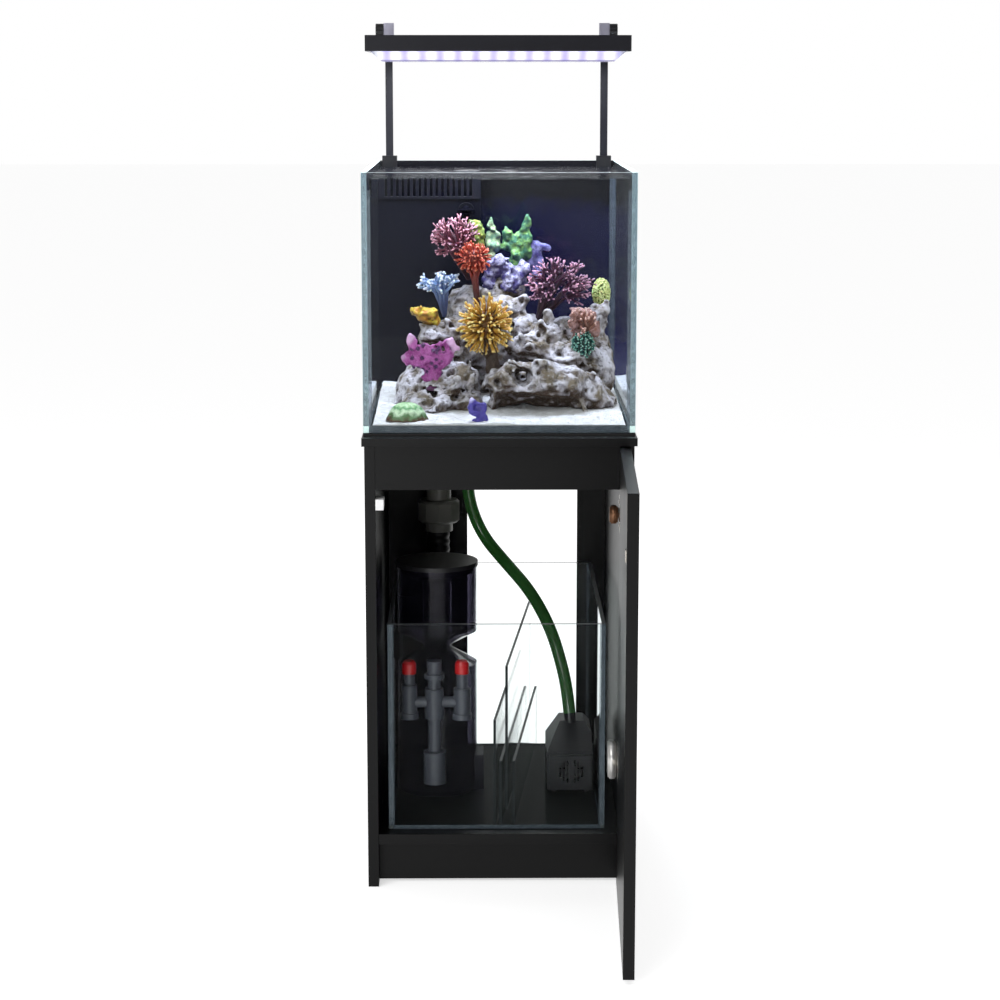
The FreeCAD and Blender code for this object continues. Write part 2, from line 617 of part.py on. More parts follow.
def save_union(socket_top):
    """Union below the drain: pipe with its collar, nut, and the tail that the hose takes."""
    z0, z1 = UNION_FOOT_Z, UNION_TOP_Z
    joint_z = (z0 + z1) / 2
    collar_top = z1 + UNION_COLLAR_H
    down = fused([rod(DRAIN_X, PIPE_Y, collar_top - 1, socket_top, DRAIN_PIPE_R),
                  rod(DRAIN_X, PIPE_Y, joint_z, collar_top, UNION_COLLAR_R)])
    save("drain_downpipe", down.cut(rod(DRAIN_X, PIPE_Y, joint_z, socket_top, DRAIN_BORE)))
    chamfer = UNION_NUT_CHAMFER
    nut = polygon_prism(DRAIN_X, PIPE_Y, z0, z1, UNION_NUT_R, UNION_NUT_FACETS)
    nut = nut.common(turned([(0, z0), (UNION_NUT_R - chamfer, z0), (UNION_NUT_R, z0 + chamfer),
                             (UNION_NUT_R, z1 - chamfer), (UNION_NUT_R - chamfer, z1), (0, z1)],
                            DRAIN_X, PIPE_Y))
    nut = nut.cut(rod(DRAIN_X, PIPE_Y, z0, z1, UNION_COLLAR_R + UNION_BORE_PLAY))
    save("union_nut", nut)
    tail = fused([rod(DRAIN_X, PIPE_Y, z0 - 0.5, joint_z, UNION_COLLAR_R),
                  rod(DRAIN_X, PIPE_Y, UNION_TAIL_Z, z0 - 0.5, UNION_TAIL_R)])
    save("union_tail", tail.cut(rod(DRAIN_X, PIPE_Y, UNION_TAIL_Z, joint_z, DRAIN_BORE)))


def drain_hose():
    """Ribbed hose that hangs straight from the union into the sump."""
    foot = SUMP_FLOOR_Z + DRAIN_HOSE_FOOT
    length = UNION_TAIL_Z - foot
    count = int(length / DRAIN_HOSE_PITCH)
    pitch = length / count
    valley = DRAIN_HOSE_R - DRAIN_HOSE_RIB
    profile = [(DRAIN_BORE, foot)]
    for i in range(count):
        z = foot + i * pitch
        profile.append((valley, z))
        profile.append((DRAIN_HOSE_R, z + pitch / 2))
    profile.append((valley, UNION_TAIL_Z))
    profile.append((DRAIN_BORE, UNION_TAIL_Z))
    save("drain_hose", turned(profile, DRAIN_X, PIPE_Y))


def return_line():
    hose_top = HOSE_POINTS[0][2]
    body, nut = bulkhead(RETURN_X, RETURN_THREAD_R, RETURN_FLANGE_R, RETURN_BORE,
                         hose_top + RETURN_TAIL_L)
    barb = turned([(RETURN_BORE, hose_top), (HOSE_R - 1, hose_top), (HOSE_R, hose_top + 8),
                   (HOSE_R - 1, hose_top + 8), (HOSE_R, hose_top + 16),
                   (HOSE_R, hose_top + RETURN_TAIL_L + 1),
                   (RETURN_BORE, hose_top + RETURN_TAIL_L + 1)], RETURN_X, PIPE_Y)
    riser = rod(RETURN_X, PIPE_Y, TANK_FLOOR_Z + FLANGE_T, NOZZLE_Z, RETURN_PIPE_R)
    elbow = rod(RETURN_X, PIPE_Y, NOZZLE_Z - ELBOW_R, NOZZLE_Z + ELBOW_R, ELBOW_R)
    mouth_y = NOZZLE_MOUTH_Y
    arm = rod_y(RETURN_X, mouth_y, PIPE_Y, NOZZLE_Z, RETURN_PIPE_R)
    ball_y = mouth_y - BALL_R
    socket = rod_y(RETURN_X, ball_y - BALL_R / 2, mouth_y, NOZZLE_Z, SOCKET_R)
    cavity = Part.makeSphere(BALL_R + BALL_PLAY, V(RETURN_X, ball_y, NOZZLE_Z), V(0, 1, 0))
    bore_up = rod(RETURN_X, PIPE_Y, TANK_FLOOR_Z, NOZZLE_Z, RETURN_BORE)
    bore_out = rod_y(RETURN_X, ball_y, PIPE_Y, NOZZLE_Z, ARM_BORE)
    riser = fused([riser, elbow, arm, socket]).cut(cavity).cut(bore_up).cut(bore_out)
    save("return_bulkhead", fused([body, barb]), nut, riser)
    ball = Part.makeSphere(BALL_R, V(RETURN_X, ball_y, NOZZLE_Z), V(0, 1, 0))
    ball = ball.common(rod_y(RETURN_X, ball_y - BALL_R, ball_y + BALL_R / 2, NOZZLE_Z, BALL_R))
    neck = rod_y(RETURN_X, ball_y - NOZZLE_L / 2, ball_y, NOZZLE_Z, BALL_R / 2)
    tip_y = NOZZLE_TIP_Y
    half_w, half_t = NOZZLE_MOUTH_W / 2, NOZZLE_MOUTH_H / 2
    rear = Part.makePolygon([V(RETURN_X + sx * 5, ball_y - NOZZLE_L / 2 + 2, NOZZLE_Z + sz * 5)
                             for sx, sz in ((-1, -1), (1, -1), (1, 1), (-1, 1), (-1, -1))])
    front = Part.makePolygon([V(RETURN_X + sx * half_w, tip_y, NOZZLE_Z + sz * half_t)
                              for sx, sz in ((-1, -1), (1, -1), (1, 1), (-1, 1), (-1, -1))])
    bill = Part.makeLoft([rear, front], True, True)
    slot = box(RETURN_X - half_w + 2, RETURN_X + half_w - 2, tip_y, tip_y + 12,
               NOZZLE_Z - 1.5, NOZZLE_Z + 1.5)
    through = rod_y(RETURN_X, tip_y + 8, ball_y + BALL_R, NOZZLE_Z, 3.0)
    save("return_nozzle", fused([ball, neck, bill]).cut(slot).cut(through))


# ---------------------------------------------------------------- return hose
def tangent_path(points):
    """Straight runs joined by tangent arcs, each as large as its two runs allow."""
    knots = [V(*p) for p in points]
    edges = []
    start = knots[0]
    length = 0.0
    for i in range(1, len(knots) - 1):
        before = knots[i] - knots[i - 1]
        after = knots[i + 1] - knots[i]
        turn = before.getAngle(after)
        set_back = 0.45 * min(before.Length, after.Length)
        radius = set_back / math.tan(turn / 2)
        u = V(before).normalize()
        w = V(after).normalize()
        arc_start = knots[i] - u * set_back
        arc_end = knots[i] + w * set_back
        to_centre = (w - u).normalize()
        centre = knots[i] + to_centre * (radius / math.cos(turn / 2))
        middle = centre - to_centre * radius
        edges.append(Part.LineSegment(start, arc_start).toShape())
        edges.append(Part.Arc(arc_start, middle, arc_end).toShape())
        length += (arc_start - start).Length + radius * turn
        print("   hose point %d: run %.0f, turn %.0f deg, radius %.0f"
              % (i, before.Length, math.degrees(turn), radius))
        start = arc_end
    edges.append(Part.LineSegment(start, knots[-1]).toShape())
    length += (knots[-1] - start).Length
    return Part.Wire(edges), length


def return_hose():
    path, length = tangent_path(HOSE_POINTS)
    first = V(*HOSE_POINTS[0])
    direction = (V(*HOSE_POINTS[1]) - first).normalize()
    section = Part.Wire([Part.Circle(first, direction, HOSE_R).toShape()])
    hose = path.makePipeShell([section], True, False)
    expected = math.pi * HOSE_R ** 2 * length
    print("   hose length %.0f, volume / (section x length) %.4f" % (length, hose.Volume / expected))
    save("return_hose", hose)


# ---------------------------------------------------------------- sand, rock and corals
def aquascape():
    """The rock and corals keep their proportions to the width of the water, and to its
    depth from the front glass to the return nozzle."""
    wide = INNER_X / REEF_HALF_W
    deep = (NOZZLE_TIP_Y + INNER_Y) / (REEF_FROM_GLASS + REEF_TO_NOZZLE)
    x0 = -INNER_X + SAND_GLASS_GAP
    y0 = -INNER_Y + SAND_GLASS_GAP
    sand_z = TANK_FLOOR_Z + SAND_H
    sand = box(x0, -x0, y0, -y0, TANK_FLOOR_Z, sand_z)
    sand = sand.cut(box(-INNER_X, BOX_X1 + 2, BOX_Y0 - COMB_T - 2, INNER_Y, TANK_FLOOR_Z, sand_z))
    save("sand_bed", sand)
    z = sand_z

    def lump(x, y, rx, ry, low, high, foot=0.8, crown=0.5, belly=0.5):
        from_glass = (y + REEF_FROM_GLASS) * deep
        return boulder(x * wide, from_glass - INNER_Y, rx * wide, ry * deep, z + low, z + high,
                       foot, crown, belly)

    rock = fused([
        lump(-88, 0, 64, 72, 0, 84),
        lump(128, 20, 56, 78, 0, 140),
        lump(70, -110, 84, 54, 0, 62, foot=0.95, crown=0.8),
        lump(-82, -88, 56, 56, 0, 28, foot=0.95, crown=0.8),
        lump(40, 12, 112, 62, 62, 136, foot=0.7, crown=0.7),
        lump(8, 62, 74, 52, 0, 186, crown=0.6),
        lump(-60, 40, 60, 50, 50, 150, crown=0.6)])
    save("live_rock", rock)
    lumps = {
        "coral_gold_ball": [(-20, -84, 42, 36, 70, 164)],
        "coral_magenta_plate": [(-104, -92, 40, 20, 20, 104)],
        "coral_purple_tree": [(94, 6, 52, 40, 122, 219)],
        "coral_crown": [
            (-66, 40, 45, 36, 205, 283), (-19, 66, 24, 26, 229, 285), (31, 60, 29, 28, 204, 271),
            (-38, 18, 25, 24, 152, 237), (-90, 14, 39, 32, 147, 195), (12, 56, 26, 26, 188, 214),
            (60, 62, 17, 20, 150, 238), (-112, -12, 23, 22, 86, 142), (130, -58, 26, 22, 62, 144),
            (164, 34, 15, 20, 128, 173), (-138, -203, 28, 24, 0, 15), (-30, -214, 17, 16, 0, 18)],
    }
    taken = rock
    for name in ("coral_gold_ball", "coral_magenta_plate", "coral_purple_tree", "coral_crown"):
        heads = []
        for x, y, rx, ry, low, high in lumps[name]:
            head = lump(x, y, rx, ry, low, high, foot=0.5, crown=0.6, belly=0.6)
            head = head.cut(taken)
            head = max(head.Solids, key=lambda s: s.Volume)
            taken = taken.fuse(head)
            heads.append(head)
        save(name, *heads)


# ---------------------------------------------------------------- lamp
def lamp():
    x1 = LAMP_X
    y0, y1 = LAMP_FRONT, LAMP_BACK
    z1 = LAMP_Z + LAMP_T
    housing = box(-x1, x1, y0, y1, LAMP_Z, z1)
    upright = [e for e in housing.Edges if abs(e.tangentAt(e.FirstParameter).z) > 0.9]
    housing = housing.makeFillet(LAMP_CORNER_R, upright)
    hollow = box(-x1 + LAMP_SHELL, x1 - LAMP_SHELL, y0 + LAMP_SHELL, y1 - LAMP_SHELL,
                 LAMP_Z, z1 - LAMP_SHELL)
    save("lamp_housing", housing.cut(hollow))
    inset = LED_BOARD_INSET
    board_z = z1 - LAMP_SHELL - LED_BOARD_T
    save("led_board", box(-x1 + inset, x1 - inset, y0 + inset, y1 - inset,
                          board_z, board_z + LED_BOARD_T))

    def tray(shrink, z_low, z_high):
        top_in = LENS_TOP_INSET + shrink
        low_in = LENS_TOP_INSET + LENS_SLOPE + shrink
        levels = []
        for inset_x, z in ((low_in, z_low), (top_in, z_high)):
            a, b = x1 - inset_x, inset_x - LENS_TOP_INSET / 2
            corners = [(-a, y0 + b), (a, y0 + b), (a, y1 - b), (-a, y1 - b), (-a, y0 + b)]
            levels.append(Part.makePolygon([V(cx, cy, z) for cx, cy in corners]))
        return Part.makeLoft(levels, True, True)

    lens = tray(0.0, LAMP_Z - LENS_DROP, LAMP_Z).cut(
        tray(LENS_WALL, LAMP_Z - LENS_DROP + LENS_WALL, LAMP_Z))
    lip = box(-x1 + LAMP_SHELL, x1 - LAMP_SHELL, y0 + LAMP_SHELL, y1 - LAMP_SHELL,
              LAMP_Z, LAMP_Z + LENS_WALL)
    inner = LENS_TOP_INSET + LENS_WALL
    lip = lip.cut(box(-x1 + inner, x1 - inner, y0 + inner, y1 - inner, LAMP_Z,
                      LAMP_Z + LENS_WALL))
    save("lamp_lens", fused([lens, lip]))


def lamp_posts():
    post_y = POST_Y
    posts = []
    clamps = []
    arms = []
    bridge_top = RIM_Z + CLAMP_BRIDGE
    collar_foot = LAMP_Z + COLLAR_FOOT
    half_w, half_t = POST_W / 2, POST_T / 2
    for sx in (-1, 1):
        x = sx * POST_X
        post = box(x - half_w, x + half_w, post_y - half_t, post_y + half_t,
                   RIM_Z + POST_SEAT, LAMP_Z + POST_OVER_LAMP)
        clamp = box(x - CLAMP_W / 2, x + CLAMP_W / 2, post_y - TANK_GLASS / 2 - CLAMP_WALL,
                    post_y + TANK_GLASS / 2 + CLAMP_WALL, RIM_Z - CLAMP_DROP, bridge_top)
        clamp = clamp.cut(box(x - CLAMP_W / 2, x + CLAMP_W / 2, post_y - TANK_GLASS / 2,
                              post_y + TANK_GLASS / 2, RIM_Z - CLAMP_DROP, RIM_Z))
        clamps.append(clamp.cut(post))
        posts.append(post)
        gap = COLLAR_PLAY
        shell = COLLAR_WALL + gap
        collar = box(x - half_w - shell, x + half_w + shell, post_y - half_t - shell,
                     post_y + half_t + shell, collar_foot, collar_foot + COLLAR_H)
        bar = box(x - ARM_BAR_W / 2, x + ARM_BAR_W / 2, LAMP_BACK, post_y - half_t - shell / 2,
                  LAMP_Z + ARM_BAR_UP, LAMP_Z + ARM_BAR_UP + ARM_BAR_T)
        inside = box(x - half_w - gap, x + half_w + gap, post_y - half_t - gap,
                     post_y + half_t + gap, collar_foot, collar_foot + COLLAR_H)
        wall_x = x + sx * (half_w + gap)
        stud_hole = rod_x(min(wall_x, wall_x + sx * shell), max(wall_x, wall_x + sx * shell),
                          post_y, KNOB_Z, KNOB_STUD_R + PIN_PLAY)
        arms.append(fused([collar, bar]).cut(inside).cut(stud_hole))
    save("lamp_posts", *posts)
    save("post_clamps", *clamps)
    save("lamp_arms", *arms)


def clamp_knob(name, sx):
    """Fluted thumb knob with its stud, on the outer side of a collar."""
    post_side = POST_X + POST_W / 2
    face = sx * (post_side + COLLAR_PLAY + COLLAR_WALL + KNOB_FACE_GAP)
    tip = sx * (post_side + KNOB_TIP_GAP)
    outer = face + sx * KNOB_T
    head = rod_x(min(face, outer), max(face, outer), POST_Y, KNOB_Z, KNOB_R)
    for i in range(KNOB_FLUTES):
        angle = 2 * math.pi * i / KNOB_FLUTES
        flute = rod_x(min(face, outer), max(face, outer), POST_Y + KNOB_R * math.cos(angle),
                      KNOB_Z + KNOB_R * math.sin(angle), KNOB_FLUTE_R)
        head = head.cut(flute)
    stud = rod_x(min(tip, face), max(tip, face), POST_Y, KNOB_Z, KNOB_STUD_R)
    save(name, fused([head, stud]))


# ---------------------------------------------------------------- sump
def sump():
    x0, x1 = SUMP_X0, SUMP_X1
    y0, y1 = SUMP_Y0, SUMP_Y1
    g = SUMP_GLASS
    save("sump_bottom", box(x0 + g + SEAM, x1 - g - SEAM, y0 + g + SEAM, y1 - g - SEAM,
                            SHELF_Z, SUMP_FLOOR_Z))
    save("sump_end_panes", box(x0, x1, y0, y0 + g, SHELF_Z, SUMP_TOP),
         box(x0, x1, y1 - g, y1, SHELF_Z, SUMP_TOP))
    side_y0, side_y1 = y0 + g + SEAM, y1 - g - SEAM
    save("sump_side_panes", box(x0, x0 + g, side_y0, side_y1, SHELF_Z, SUMP_TOP),
         box(x1 - g, x1, side_y0, side_y1, SHELF_Z, SUMP_TOP))
    panes = []
    for offset, lift, top in BAFFLES:
        front = x0 + offset - BAFFLE_T / 2
        rear = front + BAFFLE_SKEW
        z = SUMP_FLOOR_Z + lift
        outline = [V(front, y0 + g, z), V(front + BAFFLE_T, y0 + g, z),
                   V(rear + BAFFLE_T, y1 - g, z), V(rear, y1 - g, z)]
        panes.append(prism(outline, V(0, 0, top - lift)))
    save("sump_baffles", *panes)


# ---------------------------------------------------------------- protein skimmer
def skimmer():
    wall = SKIM_WALL
    neck_top = SKIM_NECK_Z + NECK_H
    outer = [(0, SUMP_FLOOR_Z), (SKIM_R, SUMP_FLOOR_Z), (SKIM_R, SKIM_SHOULDER_Z),
             (NECK_R, SKIM_NECK_Z), (NECK_R, neck_top), (0, neck_top)]
    inner = [(0, SUMP_FLOOR_Z + 2 * wall), (SKIM_R - wall, SUMP_FLOOR_Z + 2 * wall),
             (SKIM_R - wall, SKIM_SHOULDER_Z - wall), (NECK_R - wall, SKIM_NECK_Z - wall),
             (NECK_R - wall, neck_top), (0, neck_top)]
    body = turned(outer, SKIM_X, SKIM_Y)
    pump_box = box(SKIM_X + SKIM_R - 4 * wall, SKIM_X + SKIM_R + SKIM_PUMP_OUT,
                   SKIM_Y - SKIM_PUMP_L / 2, SKIM_Y + SKIM_PUMP_L / 2,
                   SUMP_FLOOR_Z, SUMP_FLOOR_Z + SKIM_PUMP_H)
    body = fused([body, pump_box]).cut(turned(inner, SKIM_X, SKIM_Y))
    save("skimmer_body", body)

    riser_out = SLEEVE_IN + wall
    floor_z = SKIM_NECK_Z + CUP_FLOOR_UP
    wall_z = SKIM_NECK_Z + CUP_WALL_UP
    riser_top = SKIM_NECK_Z + RISER_TOP_UP
    sleeve_z = SKIM_NECK_Z + SLEEVE_LIFT
    cup = turned([(SLEEVE_IN, sleeve_z), (riser_out, sleeve_z), (riser_out, floor_z),
                  (SKIM_R, wall_z), (SKIM_R, CUP_TOP_Z), (SKIM_R - wall, CUP_TOP_Z),
                  (SKIM_R - wall, wall_z + wall), (riser_out, floor_z + 2 * wall),
                  (riser_out, riser_top), (SLEEVE_IN, riser_top)], SKIM_X, SKIM_Y)
    save("skimmer_cup", cup)

    spigot_out = SKIM_R - wall - SLEEVE_PLAY
    lid = turned([(0, CUP_TOP_Z), (spigot_out - wall, CUP_TOP_Z),
                  (spigot_out - wall, CUP_TOP_Z - LID_SPIGOT), (spigot_out, CUP_TOP_Z - LID_SPIGOT),
                  (spigot_out, CUP_TOP_Z), (SKIM_R + LID_LIP, CUP_TOP_Z),
                  (SKIM_R + LID_LIP, CUP_TOP_Z + LID_T), (0, CUP_TOP_Z + LID_T)], SKIM_X, SKIM_Y)
    save("skimmer_cup_lid", lid)


def manifold():
    """Grey outlet pipework in front of the skimmer, with two capped risers."""
    y = SKIM_Y - SKIM_R - MANIFOLD_FROM_SKIM
    z0 = SUMP_FLOOR_Z + MANIFOLD_FOOT
    mid = SKIM_X + MANIFOLD_MID
    left = SKIM_X + MANIFOLD_LEFT
    right = SKIM_X + MANIFOLD_RIGHT
    mid_top = z0 + MANIFOLD_H
    parts = [rod_x(left, right, y, z0 + CROSS_UP, MANIFOLD_CROSS_R),
             rod_y(mid, y, SKIM_Y, z0 + PORT_UP, MANIFOLD_PIPE_R)]
    for low, high, r in MANIFOLD_SLEEVES:
        parts.append(rod(mid, y, z0 + low, z0 + high, r))
    caps = []
    cap_z = mid_top - CAP_H
    for offset, low, high, r in SIDE_SLEEVES:
        x = SKIM_X + offset
        parts.append(rod(x, y, z0 + low, z0 + high, r))
        parts.append(rod(x, y, z0 + low, z0 + low + SLEEVE_FOOT_H, r + SLEEVE_FOOT_OUT))
        parts.append(rod(x, y, z0 + high - 1, cap_z, MANIFOLD_CROSS_R))
        cap = turned([(0, cap_z), (CAP_R, cap_z), (CAP_R, mid_top - CAP_CHAMFER_H),
                      (CAP_R - CAP_CHAMFER, mid_top), (0, mid_top)], x, y)
        caps.append(cap)
    pipes = fused(parts)
    pipes = pipes.cut(rod(SKIM_X, SKIM_Y, SUMP_FLOOR_Z, SKIM_NECK_Z, SKIM_R))
    pipes = max(pipes.Solids, key=lambda s: s.Volume)
    save("skimmer_manifold", pipes)
    save("manifold_caps", *caps)


# ---------------------------------------------------------------- return pump
def return_pump():
    x1 = SUMP_X1 - PUMP_RIGHT_GAP
    x0 = x1 - PUMP_W
    y0 = SUMP_Y0 + PUMP_FROM_FRONT
    y1 = y0 + PUMP_L
    z0 = SUMP_FLOOR_Z
    front_h, back_h = PUMP_FRONT_H, PUMP_BACK_H
    rotor_x = x0 + ROTOR_FROM_LEFT
    outline = [V(x0, y0, z0 + PUMP_FEET), V(x1, y0, z0 + PUMP_FEET),
               V(x1, y0, z0 + back_h - PUMP_SHOULDER / 2),
               V(x1 - PUMP_SHOULDER / 2, y0, z0 + back_h), V(x0 + PUMP_SHOULDER, y0, z0 + back_h),
               V(x0, y0, z0 + back_h - 1.4 * PUMP_SHOULDER)]
    body = prism(outline, V(0, y1 - y0, 0))
    wedge = prism([V(x0, y0, z0 + front_h), V(x0, y0, z0 + back_h + 1),
                   V(x0, y1 - 30, z0 + back_h + 1), V(x0, y1 - 50, z0 + back_h)],
                  V(x1 - x0, 0, 0))
    body = body.cut(wedge)
    for fx in (x0 + PUMP_FOOT_INSET, x1 - PUMP_FOOT_INSET):
        for fy in (y0 + PUMP_FOOT_INSET, y1 - PUMP_FOOT_INSET):
            body = body.fuse(rod(fx, fy, z0, z0 + PUMP_FEET, PUMP_FOOT_R))
    outlet = V(x0 + OUTLET_FROM_LEFT, y0 + OUTLET_FROM_FRONT, z0 + OUTLET_UP)
    into_pump = V(*HOSE_POINTS[-1]) - V(*HOSE_POINTS[-2])
    body = body.fuse(Part.makeCylinder(PUMP_BARB_R, PUMP_BARB_L, outlet, into_pump))
    axis_z = z0 + ROTOR_H
    chamber = rod_y(rotor_x, y0, y0 + ROTOR_DEPTH, axis_z, ROTOR_R + ROTOR_PLAY)
    shaft_y1 = y0 + ROTOR_DEPTH + 8
    shaft_seat = rod_y(rotor_x, y0, shaft_y1, axis_z, SHAFT_R)
    body = body.cut(chamber).cut(shaft_seat).removeSplitter()
    save("return_pump", body)

    cover = box(x0 + 3, x1 - 3, y0 - PUMP_COVER_T, y0, z0 + PUMP_FEET + 2, z0 + front_h - 4)
    pitch = 2 * ROTOR_R / GRILLE_SLOTS
    for i in range(GRILLE_SLOTS):
        offset = (i - (GRILLE_SLOTS - 1) / 2) * pitch
        if abs(offset) < pitch / 2:
            continue
        half = math.sqrt(ROTOR_R ** 2 - offset ** 2) - 1
        slot_x = rotor_x + offset
        cover = cover.cut(box(slot_x - GRILLE_SLOT_W / 2, slot_x + GRILLE_SLOT_W / 2,
                              y0 - PUMP_COVER_T, y0, axis_z - half, axis_z + half))
    save("pump_cover", cover.cut(rod_y(rotor_x, y0 - 3, y0, axis_z, SHAFT_R)))
    save("pump_shaft", rod_y(rotor_x, y0 - 3, shaft_y1, axis_z, SHAFT_R))

    hub = rod_y(rotor_x, y0 + 3, y0 + ROTOR_DEPTH - 2, axis_z, 9.0)
    disc = rod_y(rotor_x, y0 + 14, y0 + 17, axis_z, ROTOR_R - 1)
    blades = []
    for i in range(ROTOR_BLADES):
        blade = box(rotor_x + 5, rotor_x + ROTOR_R - 1, y0 + 4, y0 + 15, axis_z - 1, axis_z + 1)
        blade.rotate(V(rotor_x, y0, axis_z), V(0, 1, 0), 360.0 * i / ROTOR_BLADES)
        blades.append(blade)
    rotor = fused([hub, disc] + blades)
    rotor = rotor.cut(rod_y(rotor_x, y0, y0 + ROTOR_DEPTH, axis_z, SHAFT_R + PIN_PLAY))
    save("pump_rotor", rotor)


def main():
    os.makedirs("parts", exist_ok=True)
    cabinet_boards()
    door_catch()
    door()
    cabinet_hinges()
    tank()
    seams()
    overflow()
    drain()
    drain_hose()
    return_line()
    return_hose()
    aquascape()
    lamp()
    lamp_posts()
    clamp_knob("clamp_knob_left", -1)
    clamp_knob("clamp_knob_right", 1)
    sump()
    skimmer()
    manifold()
    return_pump()


main()
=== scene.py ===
"""Reef aquarium on its cabinet: the looks around the fixed frame.

Metres, +Z up, +X to the right of someone facing the door, +Y to the back.
"""
import json
import math
import random

import bmesh
import bpy
import numpy as np
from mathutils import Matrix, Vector


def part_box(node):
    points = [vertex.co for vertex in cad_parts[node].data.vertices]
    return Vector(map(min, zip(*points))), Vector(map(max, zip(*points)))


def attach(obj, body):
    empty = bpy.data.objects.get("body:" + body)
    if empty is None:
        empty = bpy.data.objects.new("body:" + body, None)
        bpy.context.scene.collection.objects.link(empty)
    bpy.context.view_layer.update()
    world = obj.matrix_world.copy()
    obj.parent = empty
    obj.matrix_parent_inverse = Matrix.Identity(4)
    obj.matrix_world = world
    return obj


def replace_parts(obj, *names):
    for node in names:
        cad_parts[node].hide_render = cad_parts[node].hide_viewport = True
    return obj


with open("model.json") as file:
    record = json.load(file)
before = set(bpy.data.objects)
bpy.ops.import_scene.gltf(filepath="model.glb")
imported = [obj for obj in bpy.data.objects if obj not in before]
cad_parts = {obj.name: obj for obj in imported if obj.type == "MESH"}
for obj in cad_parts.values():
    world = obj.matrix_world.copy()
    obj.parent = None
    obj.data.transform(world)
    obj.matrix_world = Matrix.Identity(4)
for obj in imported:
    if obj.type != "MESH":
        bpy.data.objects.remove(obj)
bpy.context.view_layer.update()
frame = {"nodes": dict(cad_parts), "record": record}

# ------------------------------------------------------------------ sizes and places
HOSE_DIAMETER = 0.020
HOSE_ROUTE = [
    (-0.050, 0.190, 0.625), (-0.050, 0.190, 0.570), (-0.0465, 0.192, 0.512),
    (-0.024, 0.187, 0.457), (0.015, 0.163, 0.415), (0.055, 0.124, 0.376),
    (0.087, 0.080, 0.324), (0.105, 0.045, 0.268), (0.113, 0.026, 0.228),
    (0.116, 0.019, 0.197)]

CAMERA_PLACE = (-0.03067, -3.68694, 1.21139)
CAMERA_TILT = 0.17719      # radians below level
CAMERA_TURN = 0.00919      # radians to the right of straight on
CAMERA_LENS = 85.006

WATER_BELOW_RIM = 0.009
WATER_THICK = 0.0012
DIODE_PITCH = 0.027
WATER_GRID = 0.005
FAR_OUTSIDE = 0.05         # what an untouched block of a carving holds
ROCK_GRID = 0.0025
ROCK_PITS = 420

SKY_ON_MATT = 0.42         # how strongly the surroundings light dull and shiny surfaces
SKY_LESS_ON_GLOSS = 0.2
FLOOR_GLOW = 0.6
FLOOR_REACH = 30.0
FLOOR_FRONT = -8.0
FLOOR_DROP = 0.0005
SOFT_BOXES = [             # name, place, aimed at, width and height, watts
    ("key", (-1.7, -2.2, 2.9), (0.0, 0.0, 0.6), (1.8, 1.8), 42.0),
    ("fill", (2.4, -2.0, 1.7), (0.0, 0.0, 0.6), (1.6, 2.2), 16.0),
    ("low", (-0.9, -3.0, 0.7), (-0.05, 0.0, 0.35), (0.8, 0.6), 15.0),
    ("rear", (0.3, 2.6, 2.4), (0.0, 0.0, 0.8), (2.4, 1.6), 30.0)]
REEF_LIGHT_SHARE = 0.85    # of the lens that shines
REEF_LIGHT_POWER = 5.5
REEF_LIGHT_BELOW = 0.003
REEF_LIGHT_COLOUR = (0.88, 0.91, 1.0)
PANE_GAP = 0.0004          # the water's skin stops this far short of the glass

SAND_GRID = 0.004
SAND_FRONT_Y = -0.241      # where the sand is thinnest
SAND_RISE_RUN = 0.30       # and how far back it goes on rising
SAND_THIN = 0.0125         # below the CAD bed's top at the front
SAND_HEAP = 0.0135         # how much it rises in all

COVER_SIZE = (0.0125, 0.037, 0.052)    # hinge cover: off the panel, along it, up it
COVER_GAP = 0.0035                     # clear of the hinge plates
COVER_Y = -0.2215
COVER_ROUND = 0.0022

CLAM_HALF_W, CLAM_HALF_D, CLAM_H = 0.0285, 0.0225, 0.0265
CLAM_RIBS = 11


# ------------------------------------------------------------------ node helpers
def put(tree, kind, inputs=None, **settings):
    """Adds a node, sets its properties, and fills or links its inputs."""
    made = tree.nodes.new(kind)
    for key, value in settings.items():
        setattr(made, key, value)
    for key, value in (inputs or {}).items():
        if isinstance(value, bpy.types.NodeSocket):
            tree.links.new(value, made.inputs[key])
        else:
            made.inputs[key].default_value = value
    return made


def math_node(tree, operation, a, b=0.0, clamp=False):
    return put(tree, "ShaderNodeMath", {0: a, 1: b}, operation=operation,
               use_clamp=clamp).outputs[0]


def times(tree, a, b):
    return math_node(tree, "MULTIPLY", a, b)


def mix_colour(tree, factor, a, b, blend="MIX"):
    return put(tree, "ShaderNodeMix", {0: factor, 6: a, 7: b}, data_type="RGBA",
               blend_type=blend).outputs[2]


def ramp(tree, value, stops):
    """Colour ramp from a list of (place, colour)."""
    made = put(tree, "ShaderNodeValToRGB", {0: value})
    bands = made.color_ramp.elements
    while len(bands) < len(stops):
        bands.new(0.5)
    for band, (place, colour) in zip(bands, stops):
        band.position = place
        band.color = (*colour, 1.0)
    return made.outputs[0]


def map_range(tree, value, low, high, to_low=0.0, to_high=1.0):
    return put(tree, "ShaderNodeMapRange",
               {0: value, 1: low, 2: high, 3: to_low, 4: to_high}).outputs[0]


def object_place(tree, scale=(1.0, 1.0, 1.0)):
    """The piece's own coordinates, stretched."""
    here = put(tree, "ShaderNodeTexCoord").outputs["Object"]
    if scale == (1.0, 1.0, 1.0):
        return here
    return put(tree, "ShaderNodeMapping", {"Vector": here, "Scale": scale}).outputs[0]


def noise_at(tree, place, scale, detail=3.0, rough=0.5):
    return put(tree, "ShaderNodeTexNoise", {"Vector": place, "Scale": scale,
                                            "Detail": detail, "Roughness": rough}).outputs[0]


